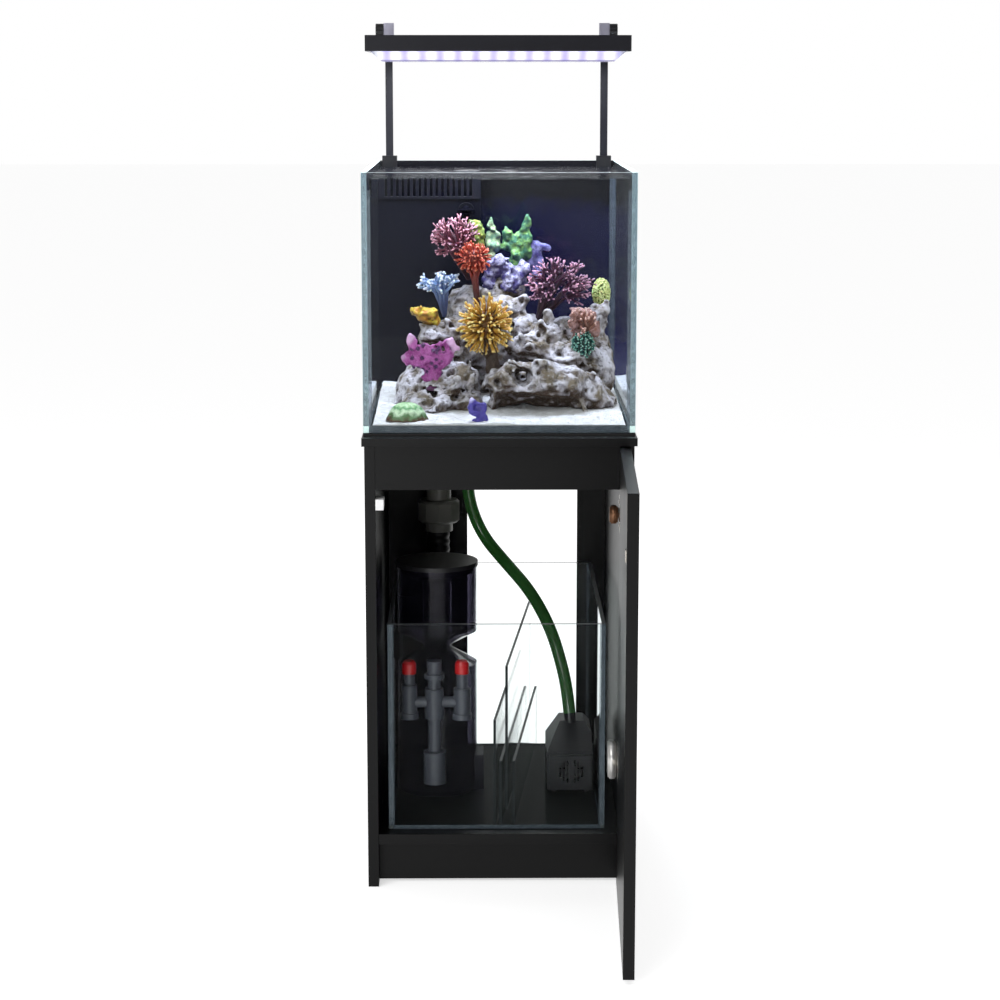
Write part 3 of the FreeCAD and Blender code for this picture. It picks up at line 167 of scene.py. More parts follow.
def group(name, ins, outs):
    """An empty shader group with its sockets: ins and outs are (name, kind, default)."""
    tree = bpy.data.node_groups.new(name, "ShaderNodeTree")
    kinds = {"f": "NodeSocketFloat", "c": "NodeSocketColor", "v": "NodeSocketVector"}
    for label, kind, default in ins:
        socket = tree.interface.new_socket(label, in_out="INPUT", socket_type=kinds[kind])
        socket.default_value = default
    for label, kind in outs:
        tree.interface.new_socket(label, in_out="OUTPUT", socket_type=kinds[kind])
    entry = tree.nodes.new("NodeGroupInput").outputs
    leave = tree.nodes.new("NodeGroupOutput").inputs
    return tree, entry, leave


def use(tree, shared, **inputs):
    """Places a shared group in a material, with its inputs named with underscores."""
    made = tree.nodes.new("ShaderNodeGroup")
    made.node_tree = shared
    for key, value in inputs.items():
        label = key.replace("_", " ")
        if isinstance(value, bpy.types.NodeSocket):
            tree.links.new(value, made.inputs[label])
        elif hasattr(value, "__len__") and len(value) == 3:
            made.inputs[label].default_value = (*value, 1.0)
        else:
            made.inputs[label].default_value = value
    return made.outputs


# ------------------------------------------------------------------ shared effects
def fine_surface_group():
    """Moulded or coated surface: a fine height, and a roughness that drifts."""
    tree, entry, leave = group("fine_surface", [
        ("Scale", "f", 400.0), ("Rough", "f", 0.4), ("Drift", "f", 0.1)],
        [("Height", "f"), ("Roughness", "f")])
    here = object_place(tree)
    tree.links.new(noise_at(tree, here, entry["Scale"], 4.0), leave["Height"])
    cloud = noise_at(tree, here, 9.0, 4.0, 0.6)
    swing = times(tree, math_node(tree, "SUBTRACT", cloud, 0.5), entry["Drift"])
    tree.links.new(math_node(tree, "ADD", entry["Rough"], times(tree, swing, 2.0)),
                   leave["Roughness"])
    return tree


def dust_group():
    """Dust on faces that look up, thicker in patches."""
    tree, entry, leave = group("settled_dust", [
        ("Colour", "c", (0.0, 0.0, 0.0, 1.0)), ("Dust", "c", (0.4, 0.4, 0.4, 1.0)),
        ("Amount", "f", 0.1)], [("Colour", "c"), ("Mask", "f")])
    normal = put(tree, "ShaderNodeNewGeometry").outputs["Normal"]
    up = put(tree, "ShaderNodeSeparateXYZ", {0: normal}).outputs[2]
    facing = map_range(tree, up, 0.4, 1.0)
    patches = map_range(tree, noise_at(tree, object_place(tree), 26.0, 6.0, 0.65), 0.35, 0.75,
                        0.3, 1.0)
    mask = times(tree, times(tree, facing, patches), entry["Amount"])
    tree.links.new(mix_colour(tree, mask, entry["Colour"], entry["Dust"]), leave["Colour"])
    tree.links.new(mask, leave["Mask"])
    return tree


def mottle_group():
    """Stone and coral: three colours in patches, painted shade in the pits, and a height for the
    bump.
    """
    tree, entry, leave = group("mottle", [
        ("Main", "c", (0.5, 0.5, 0.5, 1.0)), ("Patch", "c", (0.3, 0.3, 0.3, 1.0)),
        ("Pit", "c", (0.1, 0.1, 0.1, 1.0)), ("Patch Scale", "f", 40.0),
        ("Pit Scale", "f", 200.0), ("Pit Depth", "f", 0.6)], [("Colour", "c"), ("Height", "f")])
    here = object_place(tree)
    patch = map_range(tree, noise_at(tree, here, entry["Patch Scale"], 5.0, 0.6), 0.42, 0.6)
    stir = put(tree, "ShaderNodeTexNoise", {"Vector": here, "Scale": 120.0}).outputs["Color"]
    warped = put(tree, "ShaderNodeVectorMath", {0: stir, 1: (0.014, 0.014, 0.014), 2: here},
                 operation="MULTIPLY_ADD").outputs[0]
    cells = put(tree, "ShaderNodeTexVoronoi", {"Vector": warped, "Scale": entry["Pit Scale"]},
                feature="F1").outputs["Distance"]
    pit = map_range(tree, cells, 0.42, 0.12)
    grain = noise_at(tree, here, times(tree, entry["Pit Scale"], 1.9), 4.0)
    colour = mix_colour(tree, patch, entry["Main"], entry["Patch"])
    # painted shade: the pits are darkened towards the pit colour, as strongly as the pit depth says
    deep = times(tree, pit, entry["Pit Depth"])
    tree.links.new(mix_colour(tree, deep, colour, entry["Pit"]), leave["Colour"])
    height = math_node(tree, "SUBTRACT", times(tree, grain, 0.6), pit)
    tree.links.new(height, leave["Height"])
    return tree


FINE_SURFACE = fine_surface_group()
SETTLED_DUST = dust_group()
MOTTLE = mottle_group()


# ------------------------------------------------------------------ finishes
def finish(name):
    """An empty material: its tree, its shader and its output."""
    made = bpy.data.materials.new(name)
    made.use_nodes = True
    tree = made.node_tree
    tree.nodes.clear()
    skin = put(tree, "ShaderNodeBsdfPrincipled")
    out = put(tree, "ShaderNodeOutputMaterial", {"Surface": skin.outputs[0]})
    return made, tree, skin, out


def wire(tree, skin, **inputs):
    for key, value in inputs.items():
        socket = skin.inputs[key.replace("_", " ")]
        if isinstance(value, bpy.types.NodeSocket):
            tree.links.new(value, socket)
        elif hasattr(value, "__len__") and len(value) == 3:
            socket.default_value = (*value, 1.0)
        else:
            socket.default_value = value


def bump(tree, height, distance, strength=1.0, normal=None):
    inputs = {"Height": height, "Distance": distance, "Strength": strength}
    if normal is not None:
        inputs["Normal"] = normal
    return put(tree, "ShaderNodeBump", inputs).outputs[0]


def moulded(name, colour, rough, grain=500.0, depth=0.00008, dust=0.04, dust_colour=(0.3, 0.3, 0.3),
            metal=0.0, specular=0.4, coat=0.0, drift=0.06, edge=0.0):
    """Plastic, board, rubber and metal parts: fine grain, drifting gloss, dust, eased edges."""
    made, tree, skin, _ = finish(name)
    fine = use(tree, FINE_SURFACE, Scale=grain, Rough=rough, Drift=drift)
    dusty = use(tree, SETTLED_DUST, Colour=colour, Dust=dust_colour, Amount=dust)
    eased = None
    if edge:
        eased = put(tree, "ShaderNodeBevel", {"Radius": edge}, samples=4).outputs[0]
    wire(tree, skin, Base_Color=dusty["Colour"], Roughness=fine["Roughness"], Metallic=metal,
         Specular_IOR_Level=specular, Coat_Weight=coat, Coat_Roughness=0.12,
         Normal=bump(tree, fine["Height"], depth, 1.0, eased))
    return made


def veiled(tree, out, solid, clear, skin):
    """Shows the skin for a share of the view, and lets the rest straight through."""
    through = put(tree, "ShaderNodeBsdfTransparent", {"Color": (*clear, 1.0)})
    mixed = put(tree, "ShaderNodeMixShader", {0: solid, 1: through.outputs[0],
                                              2: skin.outputs[0]})
    tree.links.new(mixed.outputs[0], out.inputs["Surface"])


def along_branch(tree):
    """Place from root (0) to tip (1), as each piece marks it."""
    return put(tree, "ShaderNodeAttribute", attribute_name="along").outputs["Fac"]


def pane(name, axis, tint, edge_colour, film=None, mirror=0.0, clear_edge=0.55,
         glow=0.0):
    """Float glass: clear across its faces, ground and paler along its narrow edges.
    axis is the direction that the big faces look in. A film makes them opaque, and
    mirror is how much of a grazing view the face throws back. glow is painted light:
    it makes the narrow edges shine in their own colour, though they are no lamp."""
    made, tree, skin, out = finish(name)
    normal = put(tree, "ShaderNodeNewGeometry").outputs["Normal"]
    along = put(tree, "ShaderNodeSeparateXYZ", {0: normal}).outputs["XYZ".index(axis)]
    flat = math_node(tree, "GREATER_THAN", math_node(tree, "ABSOLUTE", along), 0.5)
    smear = noise_at(tree, object_place(tree), 30.0, 5.0, 0.7)
    if film is None:
        wire(tree, skin, Base_Color=tint, Transmission_Weight=1.0, Roughness=0.0, IOR=1.1)
    else:
        place = put(tree, "ShaderNodeSeparateXYZ", {0: object_place(tree)}).outputs[2]
        low = map_range(tree, place, film["low"], film["high"])
        soft = math_node(tree, "ADD", low, times(tree, smear, 0.25))
        wire(tree, skin, Base_Color=ramp(tree, soft, film["stops"]), Roughness=0.25,
             Coat_Weight=0.6, Coat_Roughness=0.03, Specular_IOR_Level=0.3)
    # the narrow edges; with glow above zero they get painted light, shining in their own colour
    # though they are no lamp
    edge = put(tree, "ShaderNodeBsdfPrincipled")
    wire(tree, edge, Base_Color=mix_colour(tree, smear, (*edge_colour, 1.0),
                                           (*[c * 0.8 for c in edge_colour], 1.0)),
         Transmission_Weight=clear_edge, Roughness=0.35, IOR=1.45,
         Emission_Color=(*edge_colour, 1.0), Emission_Strength=glow)
    face = skin.outputs[0]
    if mirror:
        facing = put(tree, "ShaderNodeLayerWeight", {"Blend": 0.5}).outputs["Facing"]
        glint = put(tree, "ShaderNodeBsdfGlossy", {"Color": (0.8, 0.84, 0.9, 1.0),
                                                   "Roughness": 0.0})
        face = put(tree, "ShaderNodeMixShader",
                   {0: map_range(tree, facing, 0.84, 0.94, 0.0, mirror), 1: face,
                    2: glint.outputs[0]}).outputs[0]
    body = put(tree, "ShaderNodeMixShader", {0: flat, 1: edge.outputs[0], 2: face})
    result = body.outputs[0]
    if film is None:
        path = put(tree, "ShaderNodeLightPath").outputs
        ghost = math_node(tree, "MAXIMUM", path["Is Shadow Ray"], path["Is Diffuse Ray"])
        through = put(tree, "ShaderNodeBsdfTransparent", {"Color": (*tint, 1.0)})
        result = put(tree, "ShaderNodeMixShader", {0: ghost, 1: result,
                                                   2: through.outputs[0]}).outputs[0]
    tree.links.new(result, out.inputs["Surface"])
    return made


def smoked(name, clear, body_colour, dense=0.5):
    """Tinted acrylic: seen through, dark, with sharp reflections that grow at the rims."""
    made, tree, skin, out = finish(name)
    cloud = noise_at(tree, object_place(tree), 14.0, 4.0, 0.6)
    wire(tree, skin, Base_Color=body_colour, Roughness=map_range(tree, cloud, 0.3, 0.7, 0.06, 0.16),
         Coat_Weight=0.5, Coat_Roughness=0.03)
    facing = put(tree, "ShaderNodeLayerWeight", {"Blend": 0.35}).outputs["Facing"]
    solid = map_range(tree, facing, 0.0, 1.0, dense, 1.0)
    veiled(tree, out, solid, clear, skin)
    return made


def water_finish():
    """Open water seen from above: clear, with a dull sheen that the ripples break up."""
    made, tree, skin, out = finish("water_surface")
    ripple = noise_at(tree, object_place(tree), 90.0, 3.0, 0.6)
    wire(tree, skin, Base_Color=ramp(tree, ripple, [(0.3, (0.004, 0.0035, 0.006)),
                                                    (0.7, (0.008, 0.007, 0.012))]),
         Roughness=0.12, Normal=bump(tree, ripple, 0.0012, 0.6))
    facing = put(tree, "ShaderNodeLayerWeight", {"Blend": 0.5}).outputs["Facing"]
    sheen = map_range(tree, facing, 0.3, 0.95, 0.03, 0.34)
    veiled(tree, out, sheen, (0.95, 0.98, 1.0), skin)
    return made


def stone(name, main, patch, pit, patch_scale=40.0, pit_scale=200.0, pit_depth=0.6,
          depth=0.0012, rough=0.8, under=None, hollow_shade=None):
    """Pitted crust with painted shade in its pits. under is the colour of painted shade on the
    faces that look down, the hollow colour that of painted shade in the dips, and the ridges get a
    painted highlight.
    """
    made, tree, skin, _ = finish(name)
    spotted = use(tree, MOTTLE, Main=main, Patch=patch, Pit=pit, Patch_Scale=patch_scale,
                  Pit_Scale=pit_scale, Pit_Depth=pit_depth)
    tone = spotted["Colour"]
    if hollow_shade is not None:
        # painted shade: concave places, found by their pointiness, are darkened to the hollow
        # colour
        curvature = put(tree, "ShaderNodeNewGeometry").outputs["Pointiness"]
        tone = mix_colour(tree, map_range(tree, curvature, 0.495, 0.44), tone, (*hollow_shade, 1.0))
        # painted highlight: sharp ridges are lightened towards pale lavender
        tone = mix_colour(tree, map_range(tree, curvature, 0.52, 0.6, 0.0, 0.6), tone,
                          (0.78, 0.77, 0.84, 1.0))
    if under is not None:
        # painted shade: faces that look down are darkened to the under colour
        normal = put(tree, "ShaderNodeNewGeometry").outputs["Normal"]
        up = put(tree, "ShaderNodeSeparateXYZ", {0: normal}).outputs[2]
        tone = mix_colour(tree, map_range(tree, up, 0.25, -0.55), tone, (*under, 1.0))
    wire(tree, skin, Base_Color=tone, Roughness=rough,
         Normal=bump(tree, spotted["Height"], depth, 0.9))
    return made


def coral(name, root, flesh, tip, spots=420.0, glow=0.15):
    """Living coral: root to tip colour along each branch, with polyps as fine pits."""
    made, tree, skin, _ = finish(name)
    along = along_branch(tree)
    drift = times(tree, noise_at(tree, object_place(tree), 60.0, 4.0), 0.3)
    stage = math_node(tree, "ADD", along, math_node(tree, "SUBTRACT", drift, 0.15))
    colour = ramp(tree, stage, [(0.1, root), (0.55, flesh), (0.84, flesh), (1.0, tip)])
    # painted shade in the polyp pits: a darker copy of the root colour
    spotted = use(tree, MOTTLE, Main=colour, Patch=colour, Pit=[c * 0.35 for c in root],
                  Patch_Scale=40.0, Pit_Scale=spots, Pit_Depth=0.5)
    wire(tree, skin, Base_Color=spotted["Colour"], Roughness=0.55, Subsurface_Weight=glow,
         Subsurface_Scale=0.003, Normal=bump(tree, spotted["Height"], 0.0008, 0.8))
    return made


def silicone_finish():
    """Clear sealant: mostly seen through, slightly cloudy."""
    made, tree, skin, out = finish("clear_silicone")
    cloud = noise_at(tree, object_place(tree), 120.0, 4.0)
    wire(tree, skin, Base_Color=ramp(tree, cloud, [(0.3, (0.10, 0.12, 0.15)),
                                                   (0.7, (0.2, 0.23, 0.27))]), Roughness=0.25)
    veiled(tree, out, 0.35, (0.9, 0.93, 0.95), skin)
    return made


def lens_finish():
    """Clear acrylic tray, lit from the diodes above: bright spots, violet between them,
    and dark where it turns up at its ends and along its lower edge."""
    made, tree, skin, _ = finish("lit_lens")
    low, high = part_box("lamp_lens")
    here = object_place(tree)
    split = put(tree, "ShaderNodeSeparateXYZ", {0: here}).outputs
    x, z = split[0], split[2]
    wave = math_node(tree, "SINE", times(tree, x, 2 * math.pi / DIODE_PITCH))
    spot = map_range(tree, wave, -1.0, 0.6)
    haze = noise_at(tree, here, 60.0, 2.0)
    glow = math_node(tree, "ADD", times(tree, spot, 0.7), times(tree, haze, 0.3), True)
    tone = ramp(tree, glow, [(0.05, (0.42, 0.34, 0.86)), (0.5, (0.78, 0.74, 1.0)),
                             (0.85, (1.0, 1.0, 1.0))])
    up = map_range(tree, z, low.z, high.z)
    shade = ramp(tree, up, [(0.0, (0.2, 0.18, 0.26)), (0.09, (0.26, 0.23, 0.36)),
                            (0.16, (1.0, 1.0, 1.0)), (0.8, (1.0, 1.0, 1.0)),
                            (1.0, (0.6, 0.55, 0.9))])
    ends = map_range(tree, math_node(tree, "ABSOLUTE", x), high.x - 0.020, high.x - 0.008)
    lit = mix_colour(tree, ends, mix_colour(tree, 1.0, tone, shade, "MULTIPLY"),
                     (0.05, 0.04, 0.09, 1.0))
    wire(tree, skin, Base_Color=(0.2, 0.2, 0.26), Roughness=0.15, Emission_Color=lit,
         Emission_Strength=0.95)
    return made


def hose_finish():
    """Soft green tube: light from behind shows through it."""
    made, tree, skin, out = finish("green_tube")
    cloud = noise_at(tree, object_place(tree), 22.0, 4.0)
    tone = mix_colour(tree, cloud, (0.03, 0.10, 0.03, 1.0), (0.08, 0.2, 0.075, 1.0))
    wire(tree, skin, Base_Color=tone, Roughness=0.22, Coat_Weight=0.5, Coat_Roughness=0.08,
         Subsurface_Weight=0.3, Subsurface_Scale=0.01,
         Normal=bump(tree, noise_at(tree, object_place(tree), 240.0), 0.0002, 0.5))
    shine = put(tree, "ShaderNodeBsdfTranslucent", {"Color": (0.2, 0.5, 0.18, 1.0)})
    tree.links.new(put(tree, "ShaderNodeMixShader", {0: 0.4, 1: skin.outputs[0],
                                                     2: shine.outputs[0]}).outputs[0],
                   out.inputs["Surface"])
    return made


TANK_TINT = (0.965, 0.99, 0.985)
TANK_EDGE = (0.8, 1.0, 0.97)
SUMP_TINT = (0.95, 0.98, 0.975)
# painted shade: the sump panes' edges, and darker still the baffles' edges, are coloured far darker
# than the tank panes' edges of the same float glass, standing in for the shade inside the cabinet
SUMP_EDGE = (0.12, 0.135, 0.14)
BAFFLE_EDGE = (0.02, 0.024, 0.026)

tank_floor_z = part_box("tank_bottom")[1].z
rim_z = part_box("tank_back")[1].z
NAVY = {"low": tank_floor_z, "high": rim_z,
        "stops": [(0.0, (0.014, 0.012, 0.14)), (0.2, (0.006, 0.006, 0.055)),
                  (0.42, (0.0028, 0.003, 0.022)), (0.9, (0.002, 0.0022, 0.015)),
                  (0.97, (0.0015, 0.0014, 0.003))]}

SLOT_FINISH = {
    "laminate": moulded("black_laminate", (0.0028, 0.0028, 0.003), 0.33, grain=1400.0,
                        depth=0.00002, dust=0.012, specular=0.16, edge=0.0012, drift=0.04),
    "foam": moulded("foam_sheet", (0.012, 0.012, 0.013), 0.85, grain=900.0, depth=0.0004),
    "catch_plastic": moulded("white_catch", (0.8, 0.8, 0.8), 0.35, edge=0.0006),
    "steel": moulded("nickel_steel", (0.62, 0.58, 0.52), 0.22, grain=900.0, depth=0.00002,
                     metal=1.0, dust=0.02, edge=0.0003),
    "silicone": silicone_finish(),
    "black_plastic": moulded("black_plastic", (0.011, 0.011, 0.013), 0.38, grain=900.0,
                             depth=0.00008, edge=0.0006),
    "grey_pvc": moulded("grey_pvc", (0.2, 0.2, 0.18), 0.36, grain=300.0, depth=0.00005,
                        edge=0.0008),
    "black_rubber": moulded("ribbed_rubber", (0.008, 0.008, 0.009), 0.42, grain=600.0),
    "black_anodised": moulded("black_anodised", (0.009, 0.009, 0.013), 0.33, grain=1200.0,
                              depth=0.00003, metal=0.35, edge=0.0008),
    "satin_aluminium": moulded("satin_aluminium", (0.5, 0.49, 0.6), 0.34, grain=1200.0,
                               depth=0.00003, metal=0.7, edge=0.0005),
    "led_white": moulded("diode_board", (0.85, 0.85, 0.9), 0.5),
    "red_plastic": moulded("red_plastic", (0.55, 0.008, 0.012), 0.28, coat=0.3, edge=0.0008),
    "ceramic_shaft": moulded("ceramic_rod", (0.8, 0.8, 0.76), 0.15),
    "smoked_acrylic": smoked("smoked_acrylic", (0.72, 0.7, 0.79), (0.011, 0.0105, 0.017), 0.13),
    "diffuser": lens_finish(),
}
NODE_FINISH = {
    "tank_front": pane("tank_pane_y", "Y", TANK_TINT, TANK_EDGE, clear_edge=0.12),
    # painted light: glow makes the side panes' edges shine in their own colour
    "tank_side_left": pane("tank_pane_x", "X", TANK_TINT, TANK_EDGE, mirror=0.93,
                           clear_edge=0.12, glow=0.22),
    "tank_bottom": pane("tank_pane_z", "Z", TANK_TINT, TANK_EDGE, clear_edge=0.12),
    "tank_back": pane("navy_backed_pane", "Y", TANK_TINT, TANK_EDGE, NAVY),
    "sump_bottom": pane("sump_pane_z", "Z", SUMP_TINT, SUMP_EDGE, clear_edge=0.25),
    "sump_end_panes": pane("sump_pane_y", "Y", SUMP_TINT, SUMP_EDGE, clear_edge=0.25),
    "sump_side_panes": pane("sump_pane_x", "X", SUMP_TINT, SUMP_EDGE, mirror=0.15,
                            clear_edge=0.25),
    "sump_baffles": pane("baffle_pane", "X", (0.97, 0.985, 0.985), BAFFLE_EDGE, clear_edge=0.0),
    "overflow_box": moulded("overflow_shell", (0.0016, 0.0017, 0.0058), 0.42, grain=500.0,
                            depth=0.00005, dust=0.0, specular=0.15),
    "overflow_comb": moulded("overflow_comb_shell", (0.0022, 0.0023, 0.0068), 0.4, grain=500.0,
                             depth=0.00005, dust=0.0, specular=0.2, edge=0.0004),
    "return_nozzle": moulded("nozzle_black", (0.0035, 0.0035, 0.006), 0.85, grain=500.0,
                             depth=0.00005, dust=0.0, specular=0.0),
    "return_bulkhead": moulded("fitting_black", (0.003, 0.003, 0.006), 0.6, grain=500.0,
                               depth=0.00005, dust=0.0, specular=0.1),
    "skimmer_manifold": moulded("slate_pvc", (0.07, 0.073, 0.092), 0.33, grain=300.0,
                                depth=0.00005, dust=0.02, edge=0.0008),
    "post_clamps": moulded("clamp_black", (0.006, 0.006, 0.007), 0.4, dust=0.02,
                           specular=0.25, edge=0.0006),
}
NODE_FINISH["tank_side_right"] = NODE_FINISH["tank_side_left"]


def dress_frame():
    """Gives every CAD node the finish of its slot."""
    for part in frame["record"]["subparts"]:
        node = frame["nodes"][part["node"]]
        dress = NODE_FINISH.get(part["node"]) or SLOT_FINISH.get(part["material_slot"])
        if dress is None:
            continue
        for slot in node.material_slots:
            slot.material = dress


# ------------------------------------------------------------------ shape helpers
class Shape:
    """Gathers corners and faces, with each corner's place along its branch."""

    def __init__(self):
        self.corners = []
        self.faces = []
        self.along = []

    def ring_tube(self, points, radii, sides=6, along=(0.0, 1.0), squash=1.0):
        """Closed tube through the points, with a pole at each end."""
        points = [Vector(p) for p in points]
        base = len(self.corners)
        side = Vector((0.0, 0.0, 1.0))
        count = len(points)
        for i, point in enumerate(points):
            ahead = points[min(i + 1, count - 1)] - points[max(i - 1, 0)]
            ahead.normalize()
            side = side - ahead * side.dot(ahead)
            if side.length < 0.1:
                side = ahead.orthogonal()
            side.normalize()
            other = ahead.cross(side)
            for k in range(sides):
                turn = 2 * math.pi * k / sides
                self.corners.append(point + (side * math.cos(turn) * squash
                                             + other * math.sin(turn)) * radii[i])
                self.along.append(along[0] + (along[1] - along[0]) * i / (count - 1))
        for i in range(count - 1):
            for k in range(sides):
                a = base + i * sides + k
                b = base + i * sides + (k + 1) % sides
                self.faces.append((a, b, b + sides, a + sides))
        first = len(self.corners)
        self.corners.append(points[0] - (points[1] - points[0]).normalized() * radii[0] * 0.6)
        self.along.append(along[0])
        last = len(self.corners)
        self.corners.append(points[-1] + (points[-1] - points[-2]).normalized() * radii[-1] * 0.7)
        self.along.append(along[1])
        end = base + (count - 1) * sides
        for k in range(sides):
            after = (k + 1) % sides
            self.faces.append((first, base + after, base + k))
            self.faces.append((last, end + k, end + after))

    def piece(self, name, material, body, slot, smooth=True):
        mesh = bpy.data.meshes.new(name)
        mesh.from_pydata([tuple(c) for c in self.corners], [], self.faces)
        if self.along:
            mark = mesh.attributes.new("along", "FLOAT", "POINT")
            mark.data.foreach_set("value", np.array(self.along, np.float32))
        return settle(name, mesh, material, body, smooth)


def placed(name, data):
    """A new object in the scene, at the origin."""
    made = bpy.data.objects.new(name, data)
    bpy.context.scene.collection.objects.link(made)
    return made


def settle(name, mesh, material, body, smooth=True):
    """Makes a finished mesh a piece that rides on its body."""
    mesh.name = name
    mesh.materials.clear()
    mesh.materials.append(material)
    mesh.polygons.foreach_set("use_smooth", [smooth] * len(mesh.polygons))
    mesh.validate()
    made = bpy.data.objects.new(name, mesh)
    bpy.context.scene.collection.objects.link(made)
    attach(made, body)
    return made


def baked(holder):
    """The holder's mesh with its modifiers applied, and the holder gone."""
    bpy.context.view_layer.update()
    graph = bpy.context.evaluated_depsgraph_get()
    mesh = bpy.data.meshes.new_from_object(holder.evaluated_get(graph), depsgraph=graph)
    bpy.data.objects.remove(holder)
    return mesh


# ------------------------------------------------------------------ carved solids
class Carving:
    """A block of values, negative inside, that is added to and cut, then skinned."""

    def __init__(self, low, high, step):
        self.step = step
        self.low = np.array(low)
        counts = np.ceil((np.array(high) - self.low) / step).astype(int) + 1
        axes = [self.low[k] + step * np.arange(counts[k]) for k in range(3)]
        self.grid = np.stack(np.meshgrid(*axes, indexing="ij"), -1)
        self.field = np.full(tuple(counts), FAR_OUTSIDE)

    def window(self, centre, reach):
        a = np.floor((np.array(centre) - reach - self.low) / self.step).astype(int)
        b = np.ceil((np.array(centre) + reach - self.low) / self.step).astype(int) + 1
        a = np.maximum(a, 0)
        b = np.minimum(b, self.field.shape)
        return tuple(slice(p, max(p, q)) for p, q in zip(a, b))

    def distance(self, window, centre, radii):
        radii = np.array(radii, float)
        scaled = (self.grid[window] - np.array(centre)) / radii
        return (np.sqrt((scaled ** 2).sum(-1)) - 1.0) * radii.min()

    def add(self, centre, radii, soft=0.008):
        window = self.window(centre, np.max(radii) + 0.03)
        near = self.distance(window, centre, radii)
        old = self.field[window]
        share = np.clip(0.5 + 0.5 * (near - old) / soft, 0, 1)
        self.field[window] = near * (1 - share) + old * share - soft * share * (1 - share)

    def cut(self, centre, radii, soft=0.003):
        window = self.window(centre, np.max(radii) + 0.02)
        near = -self.distance(window, centre, radii)
        old = self.field[window]
        share = np.clip(0.5 - 0.5 * (near - old) / soft, 0, 1)
        self.field[window] = near * (1 - share) + old * share + soft * share * (1 - share)

    def roughen(self, cell, height, seed):
        self.field += height * value_noise(self.grid, cell, seed)

    def skin(self):
        """Closed quads where the values cross zero."""
        field = self.field
        field[[0, -1]] = field[:, [0, -1]] = field[:, :, [0, -1]] = FAR_OUTSIDE
        size = np.array(field.shape) - 1
        total = np.zeros((*size, 3))
        count = np.zeros(tuple(size))
        crossings = []
        for axis in range(3):
            side, up = [k for k in range(3) if k != axis]
            first = field.take(range(size[axis]), axis)
            last = field.take(range(1, size[axis] + 1), axis)
            cross = (first < 0) != (last < 0)
            share = np.where(cross, first / np.where(cross, first - last, 1.0), 0.0)
            crossings.append((cross, first < 0))
            for a in (0, 1):
                for b in (0, 1):
                    window = [slice(None)] * 3
                    window[side] = slice(a, a + size[side])
                    window[up] = slice(b, b + size[up])
                    met = cross[tuple(window)]
                    count += met
                    total[..., axis] += share[tuple(window)] * met
                    total[..., side] += a * met
                    total[..., up] += b * met
        active = count > 0
        number = np.full(tuple(size), -1)
        number[active] = np.arange(active.sum())
        spots = (np.argwhere(active) + total[active] / count[active][:, None]) * self.step
        quads = []
        for axis, (cross, starts_inside) in enumerate(crossings):
            side, up = [k for k in range(3) if k != axis]
            at = np.argwhere(cross)
            keep = (at[:, side] > 0) & (at[:, up] > 0)
            keep &= (at[:, side] < size[side]) & (at[:, up] < size[up])
            at = at[keep]
            loop = []
            for back_side, back_up in ((1, 1), (0, 1), (0, 0), (1, 0)):
                cell = at.copy()
                cell[:, side] -= back_side
                cell[:, up] -= back_up
                loop.append(number[tuple(cell.T)])
            loop = np.stack(loop, 1)
            outward = starts_inside[tuple(at.T)] != (axis == 1)
            loop[~outward] = loop[~outward][:, ::-1]
            quads.append(loop)
        return spots + self.low, np.concatenate(quads)


def value_noise(points, cell, seed):
    """Smooth noise from -1 to 1 with lumps about a cell across."""
    lattice = np.random.RandomState(seed).uniform(-1, 1, (32, 32, 32))
    scaled = points / cell + 16.0
    base = np.floor(scaled).astype(int)
    part = scaled - base
    part = part * part * (3 - 2 * part)
    result = 0.0
    for i in (0, 1):
        for j in (0, 1):
            for k in (0, 1):
                weight = (np.abs(1 - i - part[..., 0]) * np.abs(1 - j - part[..., 1])
                          * np.abs(1 - k - part[..., 2]))
                result = result + weight * lattice[(base[..., 0] + i) % 32,
                                                   (base[..., 1] + j) % 32,
                                                   (base[..., 2] + k) % 32]
    return result


def carved_piece(name, carving, material, along=None):
    corners, quads = carving.skin()
    mesh = bpy.data.meshes.new(name)
    mesh.from_pydata(corners.tolist(), [], quads.tolist())
    if along is not None:
        mark = mesh.attributes.new("along", "FLOAT", "POINT")
        mark.data.foreach_set("value", along(corners).astype(np.float32))
    return settle(name, mesh, material, "cabinet")


# ------------------------------------------------------------------ geometry node trees
def tree_with(name, *ins):
    """Geometry tree with a mesh going in and out, and named inputs (label, kind)."""
    tree = bpy.data.node_groups.new(name, "GeometryNodeTree")
    kinds = {"g": "NodeSocketGeometry", "f": "NodeSocketFloat", "i": "NodeSocketInt",
             "m": "NodeSocketMaterial", "v": "NodeSocketVector"}
    tree.interface.new_socket("Geometry", in_out="INPUT", socket_type=kinds["g"])
    for label, kind in ins:
        tree.interface.new_socket(label, in_out="INPUT", socket_type=kinds[kind])
    tree.interface.new_socket("Geometry", in_out="OUTPUT", socket_type=kinds["g"])
    return tree, tree.nodes.new("NodeGroupInput").outputs, tree.nodes.new("NodeGroupOutput").inputs


def grown(name, mesh, tree, **inputs):
    """Runs a tree on a mesh and gives back the plain result."""
    holder = placed(name + "_holder", mesh)
    step = holder.modifiers.new("grow", "NODES")
    step.node_group = tree
    for item in tree.interface.items_tree:
        key = item.name.replace(" ", "_")
        if item.in_out == "INPUT" and key in inputs:
            step[item.identifier] = inputs[key]
    return baked(holder)


def random_between(tree, low, high, seed, salt):
    made = put(tree, "FunctionNodeRandomValue", {"Seed": math_node(tree, "ADD", seed, salt)},
               data_type="FLOAT")
    for place, value in ((2, low), (3, high)):
        if isinstance(value, bpy.types.NodeSocket):
            tree.links.new(value, made.inputs[place])
        else:
            made.inputs[place].default_value = value
    return made.outputs[1]


